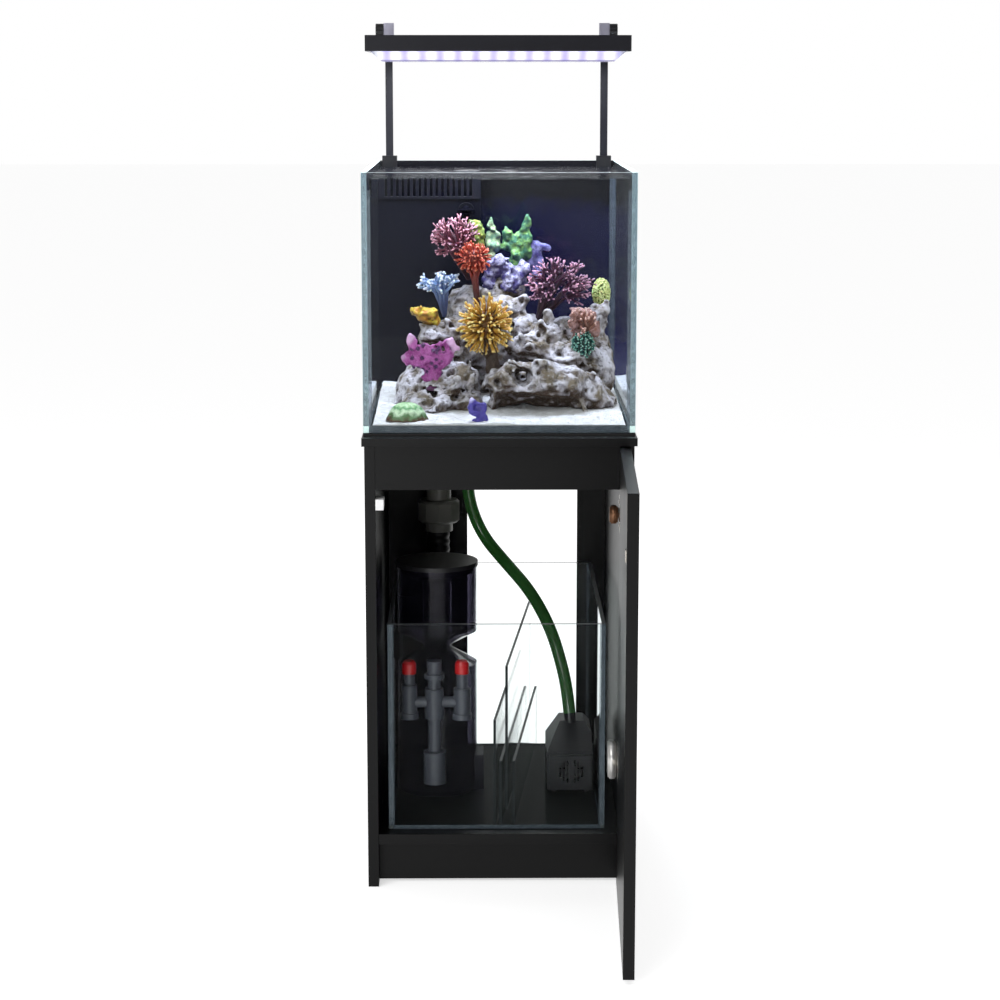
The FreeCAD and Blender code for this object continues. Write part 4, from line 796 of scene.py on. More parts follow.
def strew(tree, entry, shape, scale, turn=None):
    """Copies of a shape on random points of the mesh, standing along its normals."""
    spread = put(tree, "GeometryNodeDistributePointsOnFaces",
                 {"Mesh": entry["Geometry"], "Density": entry["Density"],
                  "Seed": entry["Seed"]}, distribute_method="RANDOM").outputs
    return put(tree, "GeometryNodeInstanceOnPoints",
               {"Points": spread["Points"], "Instance": shape, "Scale": scale,
                "Rotation": spread["Rotation"] if turn is None else turn}).outputs[0]


def close_tree(tree, entry, leave, added):
    """Joins what was added to the mesh itself, and gives both the material."""
    both = tree.nodes.new("GeometryNodeJoinGeometry")
    tree.links.new(added, both.inputs[0])
    tree.links.new(entry["Geometry"], both.inputs[0])
    real = put(tree, "GeometryNodeRealizeInstances", {0: both.outputs[0]})
    coated = put(tree, "GeometryNodeSetMaterial", {"Geometry": real.outputs[0],
                                                   "Material": entry["Material"]})
    tree.links.new(coated.outputs[0], leave["Geometry"])
    return tree


def bristle_tree():
    """Bent, tapered bristles that stand all over a mesh, root to tip marked as along."""
    tree, entry, leave = tree_with("bristles", ("Density", "f"), ("Length", "f"),
                                   ("Thickness", "f"), ("Bend", "f"), ("Taper", "f"),
                                   ("Seed", "i"), ("Material", "m"))
    line = put(tree, "GeometryNodeCurvePrimitiveLine", {"End": (0.0, 0.0, 1.0)})
    line = put(tree, "GeometryNodeResampleCurve", {"Curve": line.outputs[0], "Count": 6})
    factor = put(tree, "GeometryNodeSplineParameter").outputs["Factor"]
    thin = math_node(tree, "SUBTRACT", 1.0, times(tree, factor, entry["Taper"]))
    line = put(tree, "GeometryNodeSetCurveRadius", {"Curve": line.outputs[0], "Radius": thin})
    line = put(tree, "GeometryNodeStoreNamedAttribute",
               {"Geometry": line.outputs[0], "Name": "along", "Value": factor},
               data_type="FLOAT", domain="POINT")
    round_ = put(tree, "GeometryNodeCurvePrimitiveCircle", {"Resolution": 5, "Radius": 1.0})
    stalk = put(tree, "GeometryNodeCurveToMesh", {"Curve": line.outputs[0],
                                                  "Profile Curve": round_.outputs[0],
                                                  "Fill Caps": True})
    girth = times(tree, entry["Thickness"],
                  random_between(tree, 0.75, 1.25, entry["Seed"], 1.0))
    tall = times(tree, entry["Length"], random_between(tree, 0.6, 1.15, entry["Seed"], 2.0))
    size = put(tree, "ShaderNodeCombineXYZ", {0: girth, 1: girth, 2: tall})
    stand = strew(tree, entry, stalk.outputs[0], size.outputs[0])
    real = put(tree, "GeometryNodeRealizeInstances", {0: stand})
    place = put(tree, "GeometryNodeInputPosition").outputs[0]
    wind = put(tree, "ShaderNodeTexNoise", {"Vector": place, "Scale": 70.0, "Detail": 1.0})
    centred = put(tree, "ShaderNodeVectorMath", {0: wind.outputs["Color"], 1: (0.5, 0.5, 0.5)},
                  operation="SUBTRACT")
    marked = put(tree, "GeometryNodeInputNamedAttribute", {"Name": "along"}, data_type="FLOAT")
    push = times(tree, marked.outputs[0], entry["Bend"])
    lean = put(tree, "ShaderNodeVectorMath", {0: centred.outputs[0]}, operation="SCALE")
    tree.links.new(push, lean.inputs["Scale"])
    bent = put(tree, "GeometryNodeSetPosition", {"Geometry": real.outputs[0],
                                                 "Offset": lean.outputs[0]})
    return close_tree(tree, entry, leave, bent.outputs[0])


def pebble_tree():
    """Small stones of mixed size strewn over a mesh, which stays under them."""
    tree, entry, leave = tree_with("pebbles", ("Density", "f"), ("Size", "f"), ("Seed", "i"),
                                   ("Material", "m"))
    grain = put(tree, "GeometryNodeMeshIcoSphere", {"Radius": 0.5, "Subdivisions": 1})
    size = times(tree, entry["Size"], random_between(tree, 0.4, 1.0, entry["Seed"], 3.0))
    flat = put(tree, "ShaderNodeCombineXYZ", {0: size, 1: times(tree, size, 0.8),
                                              2: times(tree, size, 0.55)})
    turn = put(tree, "ShaderNodeCombineXYZ",
               {0: 0.0, 1: 0.0, 2: random_between(tree, 0.0, 6.28, entry["Seed"], 4.0)})
    strewn = strew(tree, entry, grain.outputs[0], flat.outputs[0], turn.outputs[0])
    return close_tree(tree, entry, leave, strewn)


# ------------------------------------------------------------------ reef
SAND_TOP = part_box("sand_bed")[1].z
MM = 0.001


def reef(x, y, z):
    """A place in the tank: millimetres from the middle, and above the sand at the back."""
    return Vector((x * MM, y * MM, SAND_TOP + z * MM))


def sand_level(y):
    """Height of the sand: thin at the front pane, heaped a little towards the back."""
    rise = np.clip((y - SAND_FRONT_Y) / SAND_RISE_RUN, 0.0, 1.0)
    return SAND_TOP - SAND_THIN + SAND_HEAP * rise * rise * (3 - 2 * rise)


def slab(gx, gy, top, bottom):
    """Corners, edges and faces of a closed slab between two heights over a grid."""
    rows, columns = gx.shape
    corners = np.concatenate([np.stack([gx, gy, top], -1).reshape(-1, 3),
                              np.stack([gx, gy, bottom], -1).reshape(-1, 3)])
    under = rows * columns
    faces = []
    for i in range(rows - 1):
        for j in range(columns - 1):
            a = i * columns + j
            faces.append((a, a + columns, a + columns + 1, a + 1))
            faces.append((under + a, under + a + 1, under + a + columns + 1,
                          under + a + columns))
    rim = ([i * columns for i in range(rows)]
           + [(rows - 1) * columns + j for j in range(1, columns)]
           + [i * columns + columns - 1 for i in range(rows - 2, -1, -1)]
           + list(range(columns - 2, 0, -1)))
    for a, b in zip(rim, rim[1:] + rim[:1]):
        faces.append((b, a, under + a, under + b))
    return corners.tolist(), [], faces


def level_grid(x0, x1, y0, y1, step, gap=0.0):
    """Even grid between four sides, gap short of them, and its places at height 0."""
    xs = np.linspace(x0 + gap, x1 - gap, int((x1 - x0) / step) + 1)
    ys = np.linspace(y0 + gap, y1 - gap, int((y1 - y0) / step) + 1)
    gx, gy = np.meshgrid(xs, ys, indexing="ij")
    return gx, gy, np.stack([gx, gy, np.zeros_like(gx)], -1)


def sand_bed():
    low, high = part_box("sand_bed")
    floor = tank_floor_z
    gx, gy, flat = level_grid(low.x, high.x, low.y, high.y, SAND_GRID)
    top = sand_level(gy) + 0.0022 * value_noise(flat, 0.05, 3) + 0.0009 * value_noise(
        flat, 0.011, 4)
    top = np.maximum(top, floor + 0.0012)
    mesh = bpy.data.meshes.new("sand")
    mesh.from_pydata(*slab(gx, gy, top, np.full_like(gx, floor + 0.0002)))
    grit = stone("coral_sand", (0.66, 0.65, 0.67), (0.8, 0.8, 0.84), (0.34, 0.31, 0.3), 60.0,
                 520.0, 0.45, 0.0008, 0.9)
    mesh = grown("sand", mesh, pebble_tree(), Density=9000.0, Size=0.0042, Seed=5, Material=grit)
    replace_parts(settle("sand_grains", mesh, grit, "cabinet", False), "sand_bed")


def prong(carving, start, end, thick, thin, beads=7):
    """A tapering finger of stone."""
    for i in range(beads):
        t = i / (beads - 1)
        r = thick * (1 - t) + thin * t
        carving.add(start.lerp(end, t), (r, r, r * 1.15), 0.004)


ROCK_LUMPS = [
    # left mound and the ledge above it
    (-95, -45, 18, 58, 60, 42), (-60, -50, 22, 38, 50, 36), (-125, -30, 10, 32, 44, 34),
    (-85, 5, 45, 44, 42, 56), (-98, -8, 92, 32, 28, 20), (-62, 0, 96, 30, 26, 24),
    # fallen log at the front right
    (-8, -120, 30, 20, 22, 27), (26, -128, 42, 36, 30, 28), (66, -124, 38, 38, 32, 27),
    (104, -112, 30, 38, 34, 28), (136, -92, 10, 34, 38, 34), (154, -66, -2, 28, 34, 26),
    (20, -84, 20, 44, 40, 30), (80, -74, 18, 60, 42, 30), (-12, -112, 4, 14, 24, 18),
    (-100, -92, -2, 54, 56, 28), (-52, -92, -2, 38, 50, 26),
    # broken shelf over the log
    (52, -36, 78, 38, 32, 22), (80, -26, 90, 30, 28, 26), (104, -44, 66, 38, 28, 24),
    (128, -20, 50, 34, 34, 44),
    # leaning column at the right
    (154, 14, 114, 20, 24, 26), (158, 4, 76, 20, 26, 34), (156, -12, 34, 24, 28, 34),
    # heart of the pile
    (10, 28, 128, 38, 32, 28), (-8, 44, 104, 52, 40, 50), (42, 8, 104, 32, 30, 22),
    (0, 50, 56, 70, 46, 66), (-42, 44, 84, 52, 42, 58), (62, 30, 60, 60, 42, 58),
    (110, 24, 62, 48, 44, 58), (-42, 46, 134, 40, 34, 34), (8, 62, 160, 34, 26, 26)]
ROCK_PRONGS = [
    (-52, -74, 40, -42, -78, 66, 8, 3), (-70, -80, 30, -66, -86, 60, 8, 3),
    (-30, -70, 30, -26, -72, 54, 8, 4), (-112, -60, 30, -124, -72, 48, 7, 3),
    (-104, -16, 92, -122, -22, 112, 9, 4), (-84, -14, 100, -78, -20, 118, 9, 4),
    (-52, -12, 104, -46, -18, 120, 9, 4), (20, -46, 84, 8, -58, 104, 9, 4),
    (40, -52, 84, 34, -62, 100, 8, 3), (72, -42, 96, 64, -48, 118, 9, 4),
    (84, -30, 104, 80, -32, 134, 9, 4), (98, -24, 100, 104, -28, 128, 9, 4),
    (108, -50, 74, 92, -62, 92, 8, 3), (60, -60, 70, 44, -70, 88, 8, 4),
    (-14, -92, 34, -24, -96, 44, 9, 5), (160, 4, 120, 170, 0, 146, 9, 5),
    (30, 16, 140, 44, 12, 152, 10, 5), (-12, 24, 140, -20, 20, 158, 10, 5),
    (30, -144, 64, 16, -150, 72, 7, 4), (56, -140, 58, 66, -146, 68, 8, 4),
    (120, -124, 44, 112, -132, 58, 8, 3), (142, -104, 34, 148, -110, 50, 8, 4),
    (-44, -112, 22, -38, -118, 48, 8, 3), (-66, -122, 14, -62, -130, 42, 8, 3),
    (126, -110, 10, 132, -142, -10, 9, 6), (146, -90, 6, 158, -104, -10, 9, 6)]
ROCK_HOLES = [
    (36, -160, 46, 15, 52, 14), (60, -172, -4, 62, 66, 22), (30, -150, 6, 34, 38, 16),
    (104, -146, 0, 22, 28, 14), (-2, -146, 36, 6, 12, 6), (-62, -138, 16, 10, 16, 9),
    (-108, -146, 8, 13, 16, 11), (-18, -150, 8, 10, 44, 26),
    (4, -108, 30, 6, 12, 6), (78, -112, 46, 9, 12, 6), (-100, -100, 14, 16, 22, 13),
    (-60, -100, 8, 12, 18, 14), (-30, -60, 78, 14, 34, 16), (-18, -70, 30, 12, 44, 44),
    (40, -70, 66, 22, 14, 7), (92, -78, 72, 16, 14, 6), (112, -48, 98, 10, 18, 10),
    (-80, -34, 78, 26, 18, 9), (66, -54, 106, 8, 14, 8), (140, -50, 68, 9, 16, 14),
    (14, -14, 112, 12, 18, 8), (-120, -66, 26, 9, 16, 12)]


def live_rock():
    carving = Carving((-0.170, -0.176, SAND_TOP - 0.016), (0.190, 0.112, SAND_TOP + 0.196),
                      ROCK_GRID)
    for x, y, z, a, b, c in ROCK_LUMPS:
        carving.add(reef(x, y, z), (a * MM, b * MM, c * MM), 0.007)
    for x, y, z, u, v, w, thick, thin in ROCK_PRONGS:
        prong(carving, reef(x, y, z), reef(u, v, w), thick * MM, thin * MM)
    carving.roughen(0.034, 0.006, 11)
    carving.field += 0.0055 * np.abs(value_noise(carving.grid, 0.021, 12)) - 0.002
    for x, y, z, a, b, c in ROCK_HOLES:
        carving.cut(reef(x, y, z), (a * MM, b * MM, c * MM))
    rng = random.Random(7)
    skin = np.argwhere(np.abs(carving.field) < 0.0015)
    for _ in range(ROCK_PITS):
        spot = carving.low + skin[rng.randrange(len(skin))] * carving.step
        r = rng.uniform(0.0018, 0.0056)
        carving.cut(spot, (r * rng.uniform(0.8, 1.6), r, r * rng.uniform(0.7, 1.4)), 0.0015)
    carving.field += 0.0026 * np.abs(value_noise(carving.grid, 0.0095, 13))
    carving.roughen(0.0055, 0.0012, 14)
    # painted shade: the under colour darkens faces that look down and the hollow colour the dips;
    # the ridges get a painted highlight and the pit colour is painted shade in the pits
    rock = stone("live_rock_skin", (0.56, 0.54, 0.62), (0.17, 0.135, 0.1), (0.014, 0.009, 0.006),
                 44.0, 150.0, 0.5, 0.0020, 0.85, under=(0.035, 0.017, 0.008),
                 hollow_shade=(0.045, 0.03, 0.02))
    piece = carved_piece("live_rock_pile", carving, rock)
    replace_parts(piece, "live_rock")


def scaled(aim, radii):
    return Vector(a * r for a, r in zip(aim, radii))


def any_way(rng):
    return Vector((rng.gauss(0, 1), rng.gauss(0, 1), rng.gauss(0, 1))).normalized()


def curve_points(a, b, c, count=4):
    """Points on the curve that leaves a, leans towards b and ends at c."""
    return [a.lerp(b, t).lerp(b.lerp(c, t), t) for t in
            (i / (count - 1) for i in range(count))]


def bush(name, skin, slot, root, centre, radii, limbs, twigs, thick, seed, low=-0.25,
         nubs=2, wild=0.55, fine=0.55):
    """Branching coral: limbs from one root, and twigs that end on a rounded outline."""
    rng = random.Random(seed)
    shape = Shape()
    radii = [r * MM for r in radii]
    thick = thick * MM
    for i in range(limbs):
        up = 1 - (1 - low) * (i + 0.5) / limbs
        turn = i * math.pi * (3 - math.sqrt(5)) + rng.uniform(-0.3, 0.3)
        flat = math.sqrt(1 - up * up)
        aim = Vector((math.cos(turn) * flat, math.sin(turn) * flat, up))
        knot = centre + scaled(aim, radii) * rng.uniform(0.35, 0.55)
        bend = root.lerp(knot, 0.5) + any_way(rng) * thick + Vector((0, 0, thick))
        limb = curve_points(root, bend, knot)
        shape.ring_tube(limb, [thick * (1 - 0.12 * k) for k in range(4)], 7, (0.0, 0.4))
        for _ in range(twigs):
            wide = (aim + any_way(rng) * wild).normalized()
            tip = centre + scaled(wide, radii) * rng.uniform(0.84, 1.0)
            start = limb[rng.choice((2, 2, 3))].lerp(limb[3], rng.random())
            reach = (tip - start).length
            twig = curve_points(start, start.lerp(tip, 0.5) + any_way(rng) * reach * 0.22, tip)
            r = thick * fine
            shape.ring_tube(twig, [r, r * 0.9, r * 0.8, r * 0.72], 6, (0.35, 1.0))
            for _ in range(nubs):
                from_ = twig[1].lerp(twig[3], rng.uniform(0.1, 0.8))
                side = from_ + ((tip - from_).normalized() * 0.6
                                + any_way(rng)).normalized() * reach * rng.uniform(0.25, 0.42)
                shape.ring_tube(curve_points(from_, from_.lerp(side, 0.5), side, 3),
                                [r * 0.75, r * 0.65, r * 0.55], 5, (0.6, 1.0))
    return shape.piece(name, skin, "cabinet", slot)


def ball(name, centre, radii, rings=10, sides=16):
    """Closed rounded core for bristles to stand on."""
    shape = Shape()
    for i in range(1, rings):
        tilt = math.pi * i / rings
        for k in range(sides):
            turn = 2 * math.pi * k / sides
            aim = (math.sin(tilt) * math.cos(turn), math.sin(tilt) * math.sin(turn),
                   math.cos(tilt))
            shape.corners.append(centre + scaled(aim, radii))
    for i in range(rings - 2):
        for k in range(sides):
            a = i * sides + k
            b = i * sides + (k + 1) % sides
            shape.faces.append((a, a + sides, b + sides, b))
    top = len(shape.corners)
    shape.corners.append(centre + Vector((0, 0, radii[2])))
    shape.corners.append(centre - Vector((0, 0, radii[2])))
    last = (rings - 2) * sides
    for k in range(sides):
        after = (k + 1) % sides
        shape.faces.append((top, k, after))
        shape.faces.append((top + 1, last + after, last + k))
    mesh = bpy.data.meshes.new(name)
    mesh.from_pydata([tuple(c) for c in shape.corners], [], shape.faces)
    return mesh


def bristled(name, skin, centre, radii, length, thickness, density, bend, seed,
             taper=0.45):
    core = ball(name, centre, [r * MM for r in radii])
    mesh = grown(name, core, BRISTLES, Density=density, Length=length * MM,
                 Thickness=thickness * MM, Bend=bend * MM, Taper=taper, Seed=seed, Material=skin)
    return settle(name, mesh, skin, "cabinet")


def lumpy(name, skin, lumps, step=0.0016, cuts=(), rough=0.0012, soft=0.004, seed=1,
          grow=0.0):
    """Fleshy or stony coral made of merged lumps (x, y, z, then half sizes)."""
    places = [(reef(*lump[:3]), [v * MM for v in lump[3:]]) for lump in lumps]
    margin = 0.008
    low = [min(p[k] - r[k] for p, r in places) - margin for k in range(3)]
    high = [max(p[k] + r[k] for p, r in places) + margin for k in range(3)]
    carving = Carving(low, high, step)
    for place, radii in places:
        carving.add(place, radii, soft)
    for cut in cuts:
        carving.cut(reef(*cut[:3]), [v * MM for v in cut[3:]], 0.002)
    carving.roughen(0.012, rough * 1.6, seed)
    carving.roughen(0.005, rough, seed + 1)
    middle = np.mean([tuple(p) for p, _ in places], axis=0)
    reach = (np.array(high) - np.array(low)) / 2

    def outward(corners):
        return np.clip(np.linalg.norm((corners - middle) / reach, axis=1) + grow, 0, 1)
    return carved_piece(name, carving, skin, outward)


def spotted_plate():
    """Magenta flesh with dark violet spots and a pale rim."""
    made, tree, skin, _ = finish("magenta_plate_flesh")
    here = object_place(tree)
    along = along_branch(tree)
    cells = put(tree, "ShaderNodeTexVoronoi", {"Vector": here, "Scale": 92.0,
                                               "Randomness": 1.0}).outputs["Distance"]
    ragged = times(tree, noise_at(tree, here, 160.0, 3.0), 0.25)
    spots = map_range(tree, math_node(tree, "ADD", cells, ragged), 0.52, 0.36)
    spotted = use(tree, MOTTLE, Main=(0.25, 0.03, 0.2), Patch=(0.42, 0.1, 0.36),
                  Pit=(0.06, 0.008, 0.06), Patch_Scale=60.0, Pit_Scale=420.0, Pit_Depth=0.5)
    tone = mix_colour(tree, spots, spotted["Colour"], (0.055, 0.008, 0.075, 1.0))
    frayed = times(tree, noise_at(tree, here, 90.0, 3.0), 0.2)
    rim = map_range(tree, math_node(tree, "ADD", along, frayed), 0.93, 1.06)
    tone = mix_colour(tree, rim, tone, (0.68, 0.4, 0.66, 1.0))
    height = math_node(tree, "SUBTRACT", spotted["Height"], spots)
    wire(tree, skin, Base_Color=tone, Roughness=0.5, Normal=bump(tree, height, 0.0012, 0.9))
    return made


def corals():
    maroon = coral("maroon_fan", (0.03, 0.005, 0.012), (0.12, 0.016, 0.04), (0.78, 0.4, 0.52))
    bush("pink_branching", maroon, "coral_mixed", reef(-46, 38, 178), reef(-68, 36, 243),
         (43, 32, 39), 13, 6, 3.0, 21, low=-0.45)
    plum = coral("plum_tree", (0.014, 0.002, 0.009), (0.05, 0.006, 0.034), (0.74, 0.4, 0.58))
    tree = bush("purple_tree", plum, "coral_purple", reef(60, 4, 108), reef(95, 4, 172),
                (54, 38, 46), 14, 7, 3.4, 22, low=-0.5, fine=0.5)
    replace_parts(tree, "coral_purple_tree")
    frost = coral("frost_antlers", (0.06, 0.08, 0.2), (0.2, 0.3, 0.55), (0.8, 0.85, 0.95))
    bush("blue_antlers", frost, "coral_mixed", reef(-84, 14, 122), reef(-92, 12, 172),
         (38, 26, 22), 8, 4, 3.6, 23, low=0.0, nubs=2, fine=0.75)
    gold = coral("gold_spines", (0.12, 0.045, 0.004), (0.56, 0.3, 0.035), (0.92, 0.72, 0.28))
    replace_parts(bristled("gold_spiny_ball", gold, reef(-19, -84, 118),
                         (20, 19, 22), 24, 1.5, 52000.0, 16, 24, 0.35), "coral_gold_ball")
    stalk = coral("dark_stalk", (0.02, 0.01, 0.006), (0.05, 0.025, 0.012), (0.1, 0.05, 0.02))
    lumpy("gold_stalk", stalk, [(-16, -78, 88, 12, 12, 18), (-10, -74, 60, 10, 10, 26),
                                (-4, -70, 30, 12, 12, 30)])
    rust = coral("rust_tentacles", (0.16, 0.012, 0.008), (0.5, 0.05, 0.025), (0.85, 0.26, 0.16))
    bristled("red_bush", rust, reef(-38, 16, 214), (18, 17, 13), 12, 1.25,
             60000.0, 12, 25, 0.3)
    trunk = coral("rust_trunk", (0.06, 0.006, 0.005), (0.24, 0.02, 0.012), (0.4, 0.05, 0.03))
    bush("red_trunk", trunk, "coral_mixed", reef(-32, 14, 138), reef(-38, 15, 190),
         (14, 12, 20), 7, 2, 4.2, 26, low=0.2, nubs=1, wild=0.3)
    # painted shade: each under colour below darkens the faces of the flesh that look down
    leaf = stone("green_lobe_flesh", (0.03, 0.15, 0.09), (0.2, 0.4, 0.1), (0.004, 0.03, 0.035),
                 95.0, 330.0, 0.7, 0.001, 0.5, under=(0.008, 0.04, 0.04))
    lumpy("green_lobes", leaf, [
        (46, 60, 252, 8, 7, 19), (40, 60, 234, 10, 9, 14), (27, 60, 234, 12, 10, 14),
        (15, 60, 243, 7, 7, 11), (13, 58, 228, 8, 8, 10), (30, 56, 216, 9, 8, 10),
        (22, 58, 250, 5, 5, 8), (46, 58, 218, 9, 8, 12), (28, 62, 200, 14, 12, 14)], rough=0.0022)
    lime = stone("lime_flesh", (0.36, 0.42, 0.06), (0.12, 0.2, 0.05), (0.05, 0.06, 0.02),
                 100.0, 340.0, 0.6, 0.001, 0.5, under=(0.06, 0.09, 0.03))
    lumpy("lime_fingers", lime, [
        (-40, 62, 262, 6, 6, 10), (-32, 62, 256, 7, 7, 12), (-26, 62, 246, 8, 7, 11),
        (-34, 60, 240, 9, 8, 11), (-30, 60, 226, 9, 9, 14)], rough=0.0024)
    mint = stone("mint_flesh", (0.12, 0.26, 0.16), (0.42, 0.52, 0.3), (0.015, 0.04, 0.07),
                 90.0, 300.0, 0.7, 0.001, 0.5, under=(0.02, 0.05, 0.08))
    lumpy("mint_fingers", mint, [
        (-11, 60, 266, 5, 5, 13), (-8, 60, 252, 7, 6, 12), (-3, 60, 244, 9, 7, 12),
        (-14, 60, 242, 6, 6, 14), (-6, 58, 228, 10, 8, 14), (-10, 58, 208, 11, 9, 16)],
        rough=0.0022)
    lilac = stone("lilac_crust", (0.5, 0.48, 0.7), (0.09, 0.07, 0.3), (0.012, 0.01, 0.06), 80.0,
                  260.0, 0.7, 0.0014, 0.7, under=(0.04, 0.03, 0.12))
    lumpy("lilac_chunks", lilac, [
        (-8, 50, 190, 13, 12, 18), (6, 48, 204, 12, 11, 14), (14, 50, 186, 15, 12, 18),
        (32, 52, 178, 13, 12, 16), (42, 52, 192, 9, 9, 14), (-12, 48, 168, 12, 10, 12),
        (22, 50, 168, 22, 14, 12)], rough=0.0024, cuts=[(4, 36, 186, 5, 6, 8),
                                                        (26, 40, 190, 6, 8, 8)])
    fin = stone("blue_fin_flesh", (0.22, 0.21, 0.48), (0.05, 0.04, 0.2), (0.012, 0.01, 0.06), 80.0,
                300.0, 0.5, 0.001, 0.6)
    lumpy("blue_fin", fin, [
        (60, 62, 222, 11, 7, 14), (70, 62, 228, 11, 5, 6), (54, 62, 206, 8, 7, 14),
        (66, 62, 204, 7, 6, 14), (60, 62, 184, 10, 9, 16), (77, 62, 224, 6, 4, 4)], rough=0.001,
        cuts=[(60, 54, 206, 3, 6, 9)])
    lemon = stone("lemon_cup_flesh", (0.66, 0.54, 0.05), (0.5, 0.2, 0.015), (0.12, 0.07, 0.01),
                  95.0, 300.0, 0.7, 0.001, 0.5, under=(0.16, 0.08, 0.01))
    lumpy("yellow_cup", lemon, [
        (-122, -14, 130, 12, 10, 9), (-108, -14, 124, 12, 11, 12), (-98, -12, 114, 9, 10, 11),
        (-108, -12, 108, 10, 9, 10), (-130, -14, 134, 6, 6, 5)], rough=0.0036,
        cuts=[(-106, -26, 120, 6, 7, 5), (-118, -25, 130, 5, 6, 3)], grow=0.15)
    disc = coral("moss_disc_flesh", (0.12, 0.16, 0.03), (0.38, 0.48, 0.1), (0.72, 0.76, 0.35))
    bristled("green_disc", disc, reef(163, 32, 157), (11, 9, 20), 4, 1.5,
             240000.0, 3, 27, 0.2)
    magenta = spotted_plate()
    plate = lumpy("magenta_plate", magenta, [
        (-122, -94, 76, 17, 6, 14), (-86, -94, 78, 17, 6, 15), (-104, -95, 62, 24, 6, 22),
        (-100, -94, 40, 15, 6, 17), (-98, -93, 28, 8, 6, 10), (-133, -94, 92, 6, 5, 10),
        (-74, -94, 90, 8, 5, 9), (-136, -94, 68, 8, 5, 8), (-100, -84, 36, 8, 14, 8)],
        rough=0.0018, seed=31,
        cuts=[(-118, -101, 66, 3, 4, 3), (-100, -102, 74, 3, 4, 2), (-88, -101, 62, 4, 4, 2),
              (-106, -102, 50, 3, 4, 3), (-94, -101, 44, 3, 4, 2), (-126, -100, 80, 3, 4, 2),
              (-82, -100, 80, 4, 4, 2), (-110, -101, 84, 4, 3, 5)])
    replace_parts(plate, "coral_magenta_plate")
    umber = coral("umber_polyps", (0.03, 0.03, 0.028), (0.24, 0.1, 0.075), (0.62, 0.4, 0.36))
    bush("umber_cluster", umber, "coral_mixed", reef(134, -38, 70), reef(131, -56, 116),
         (24, 20, 30), 12, 5, 3.0, 28, low=-0.8, nubs=1, fine=0.8)
    teal = coral("teal_polyps", (0.006, 0.03, 0.028), (0.02, 0.13, 0.11), (0.25, 0.5, 0.42))
    bristled("teal_tuft", teal, reef(131, -62, 86), (13, 10, 17), 6, 1.3,
             90000.0, 6, 29, 0.3)
    knobs = stone("knob_crust", (0.2, 0.085, 0.065), (0.36, 0.21, 0.21), (0.06, 0.02, 0.015),
                  80.0, 320.0, 0.7, 0.0014, 0.7)
    crown = lumpy("brown_knobs", knobs, [
        (124, -50, 134, 13, 12, 11), (142, -52, 130, 11, 11, 12), (148, -50, 112, 9, 10, 14),
        (116, -52, 118, 8, 9, 10), (134, -44, 104, 16, 12, 20)], rough=0.0026)
    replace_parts(crown, "coral_crown")


def clam():
    """Ribbed dome shell on its brown foot, and the small violet cup beside it."""
    shape = Shape()
    centre = reef(-138, -203, -11)
    rings, sides = 16, 72
    for i in range(rings):
        t = i / rings
        tilt = t * math.pi / 2
        for k in range(sides):
            turn = 2 * math.pi * k / sides
            fan = math.cos(turn * CLAM_RIBS) * math.cos(tilt)
            rib = 1 + 0.045 * fan + 0.03 * math.cos(turn * 3)
            lip = 1.0 + 0.1 * max(0.0, 1 - t * 6)
            shape.corners.append(centre + Vector((
                math.cos(turn) * math.cos(tilt) * CLAM_HALF_W * rib * lip,
                math.sin(turn) * math.cos(tilt) * CLAM_HALF_D * rib * lip,
                math.sin(tilt) * CLAM_H * (1 + 0.08 * fan))))
            shape.along.append(t)
    shape.corners.append(centre + Vector((0, 0, CLAM_H)))
    shape.along.append(1.0)
    shape.corners.append(centre)
    shape.along.append(0.0)
    top = rings * sides
    for i in range(rings - 1):
        for k in range(sides):
            a = i * sides + k
            b = i * sides + (k + 1) % sides
            shape.faces.append((a, b, b + sides, a + sides))
    for k in range(sides):
        after = (k + 1) % sides
        shape.faces.append((top - sides + k, top - sides + after, top))
        shape.faces.append((k, top + 1, after))
    made, tree, skin, _ = finish("shell_bands")
    along = along_branch(tree)
    cloud = noise_at(tree, object_place(tree), 110.0, 3.0)
    drift = times(tree, math_node(tree, "SUBTRACT", cloud, 0.5), 0.5)
    stage = math_node(tree, "ADD", along, drift)
    tone = ramp(tree, stage, [(0.04, (0.07, 0.03, 0.014)), (0.2, (0.08, 0.18, 0.07)),
                              (0.36, (0.6, 0.76, 0.55)), (0.52, (0.07, 0.26, 0.09)),
                              (0.7, (0.5, 0.7, 0.42)), (0.95, (0.12, 0.3, 0.1))])
    wire(tree, skin, Base_Color=tone, Roughness=0.5,
         Normal=bump(tree, noise_at(tree, object_place(tree), 700.0), 0.0006, 0.7))
    shape.piece("ribbed_clam", made, "cabinet", "coral_mixed")
    violet = coral("violet_cup_flesh", (0.02, 0.012, 0.12), (0.055, 0.04, 0.3),
                   (0.55, 0.5, 0.82))
    lumpy("violet_cup", violet, [
        (-33, -214, 6, 12, 9, 12), (-26, -214, -4, 9, 8, 10), (-22, -216, 10, 5, 5, 8),
        (-40, -214, 14, 5, 6, 8), (-30, -214, -12, 11, 9, 5)], 0.0014, rough=0.0014, seed=41,
        cuts=[(-31, -222, 11, 7, 6, 6)], grow=0.1)


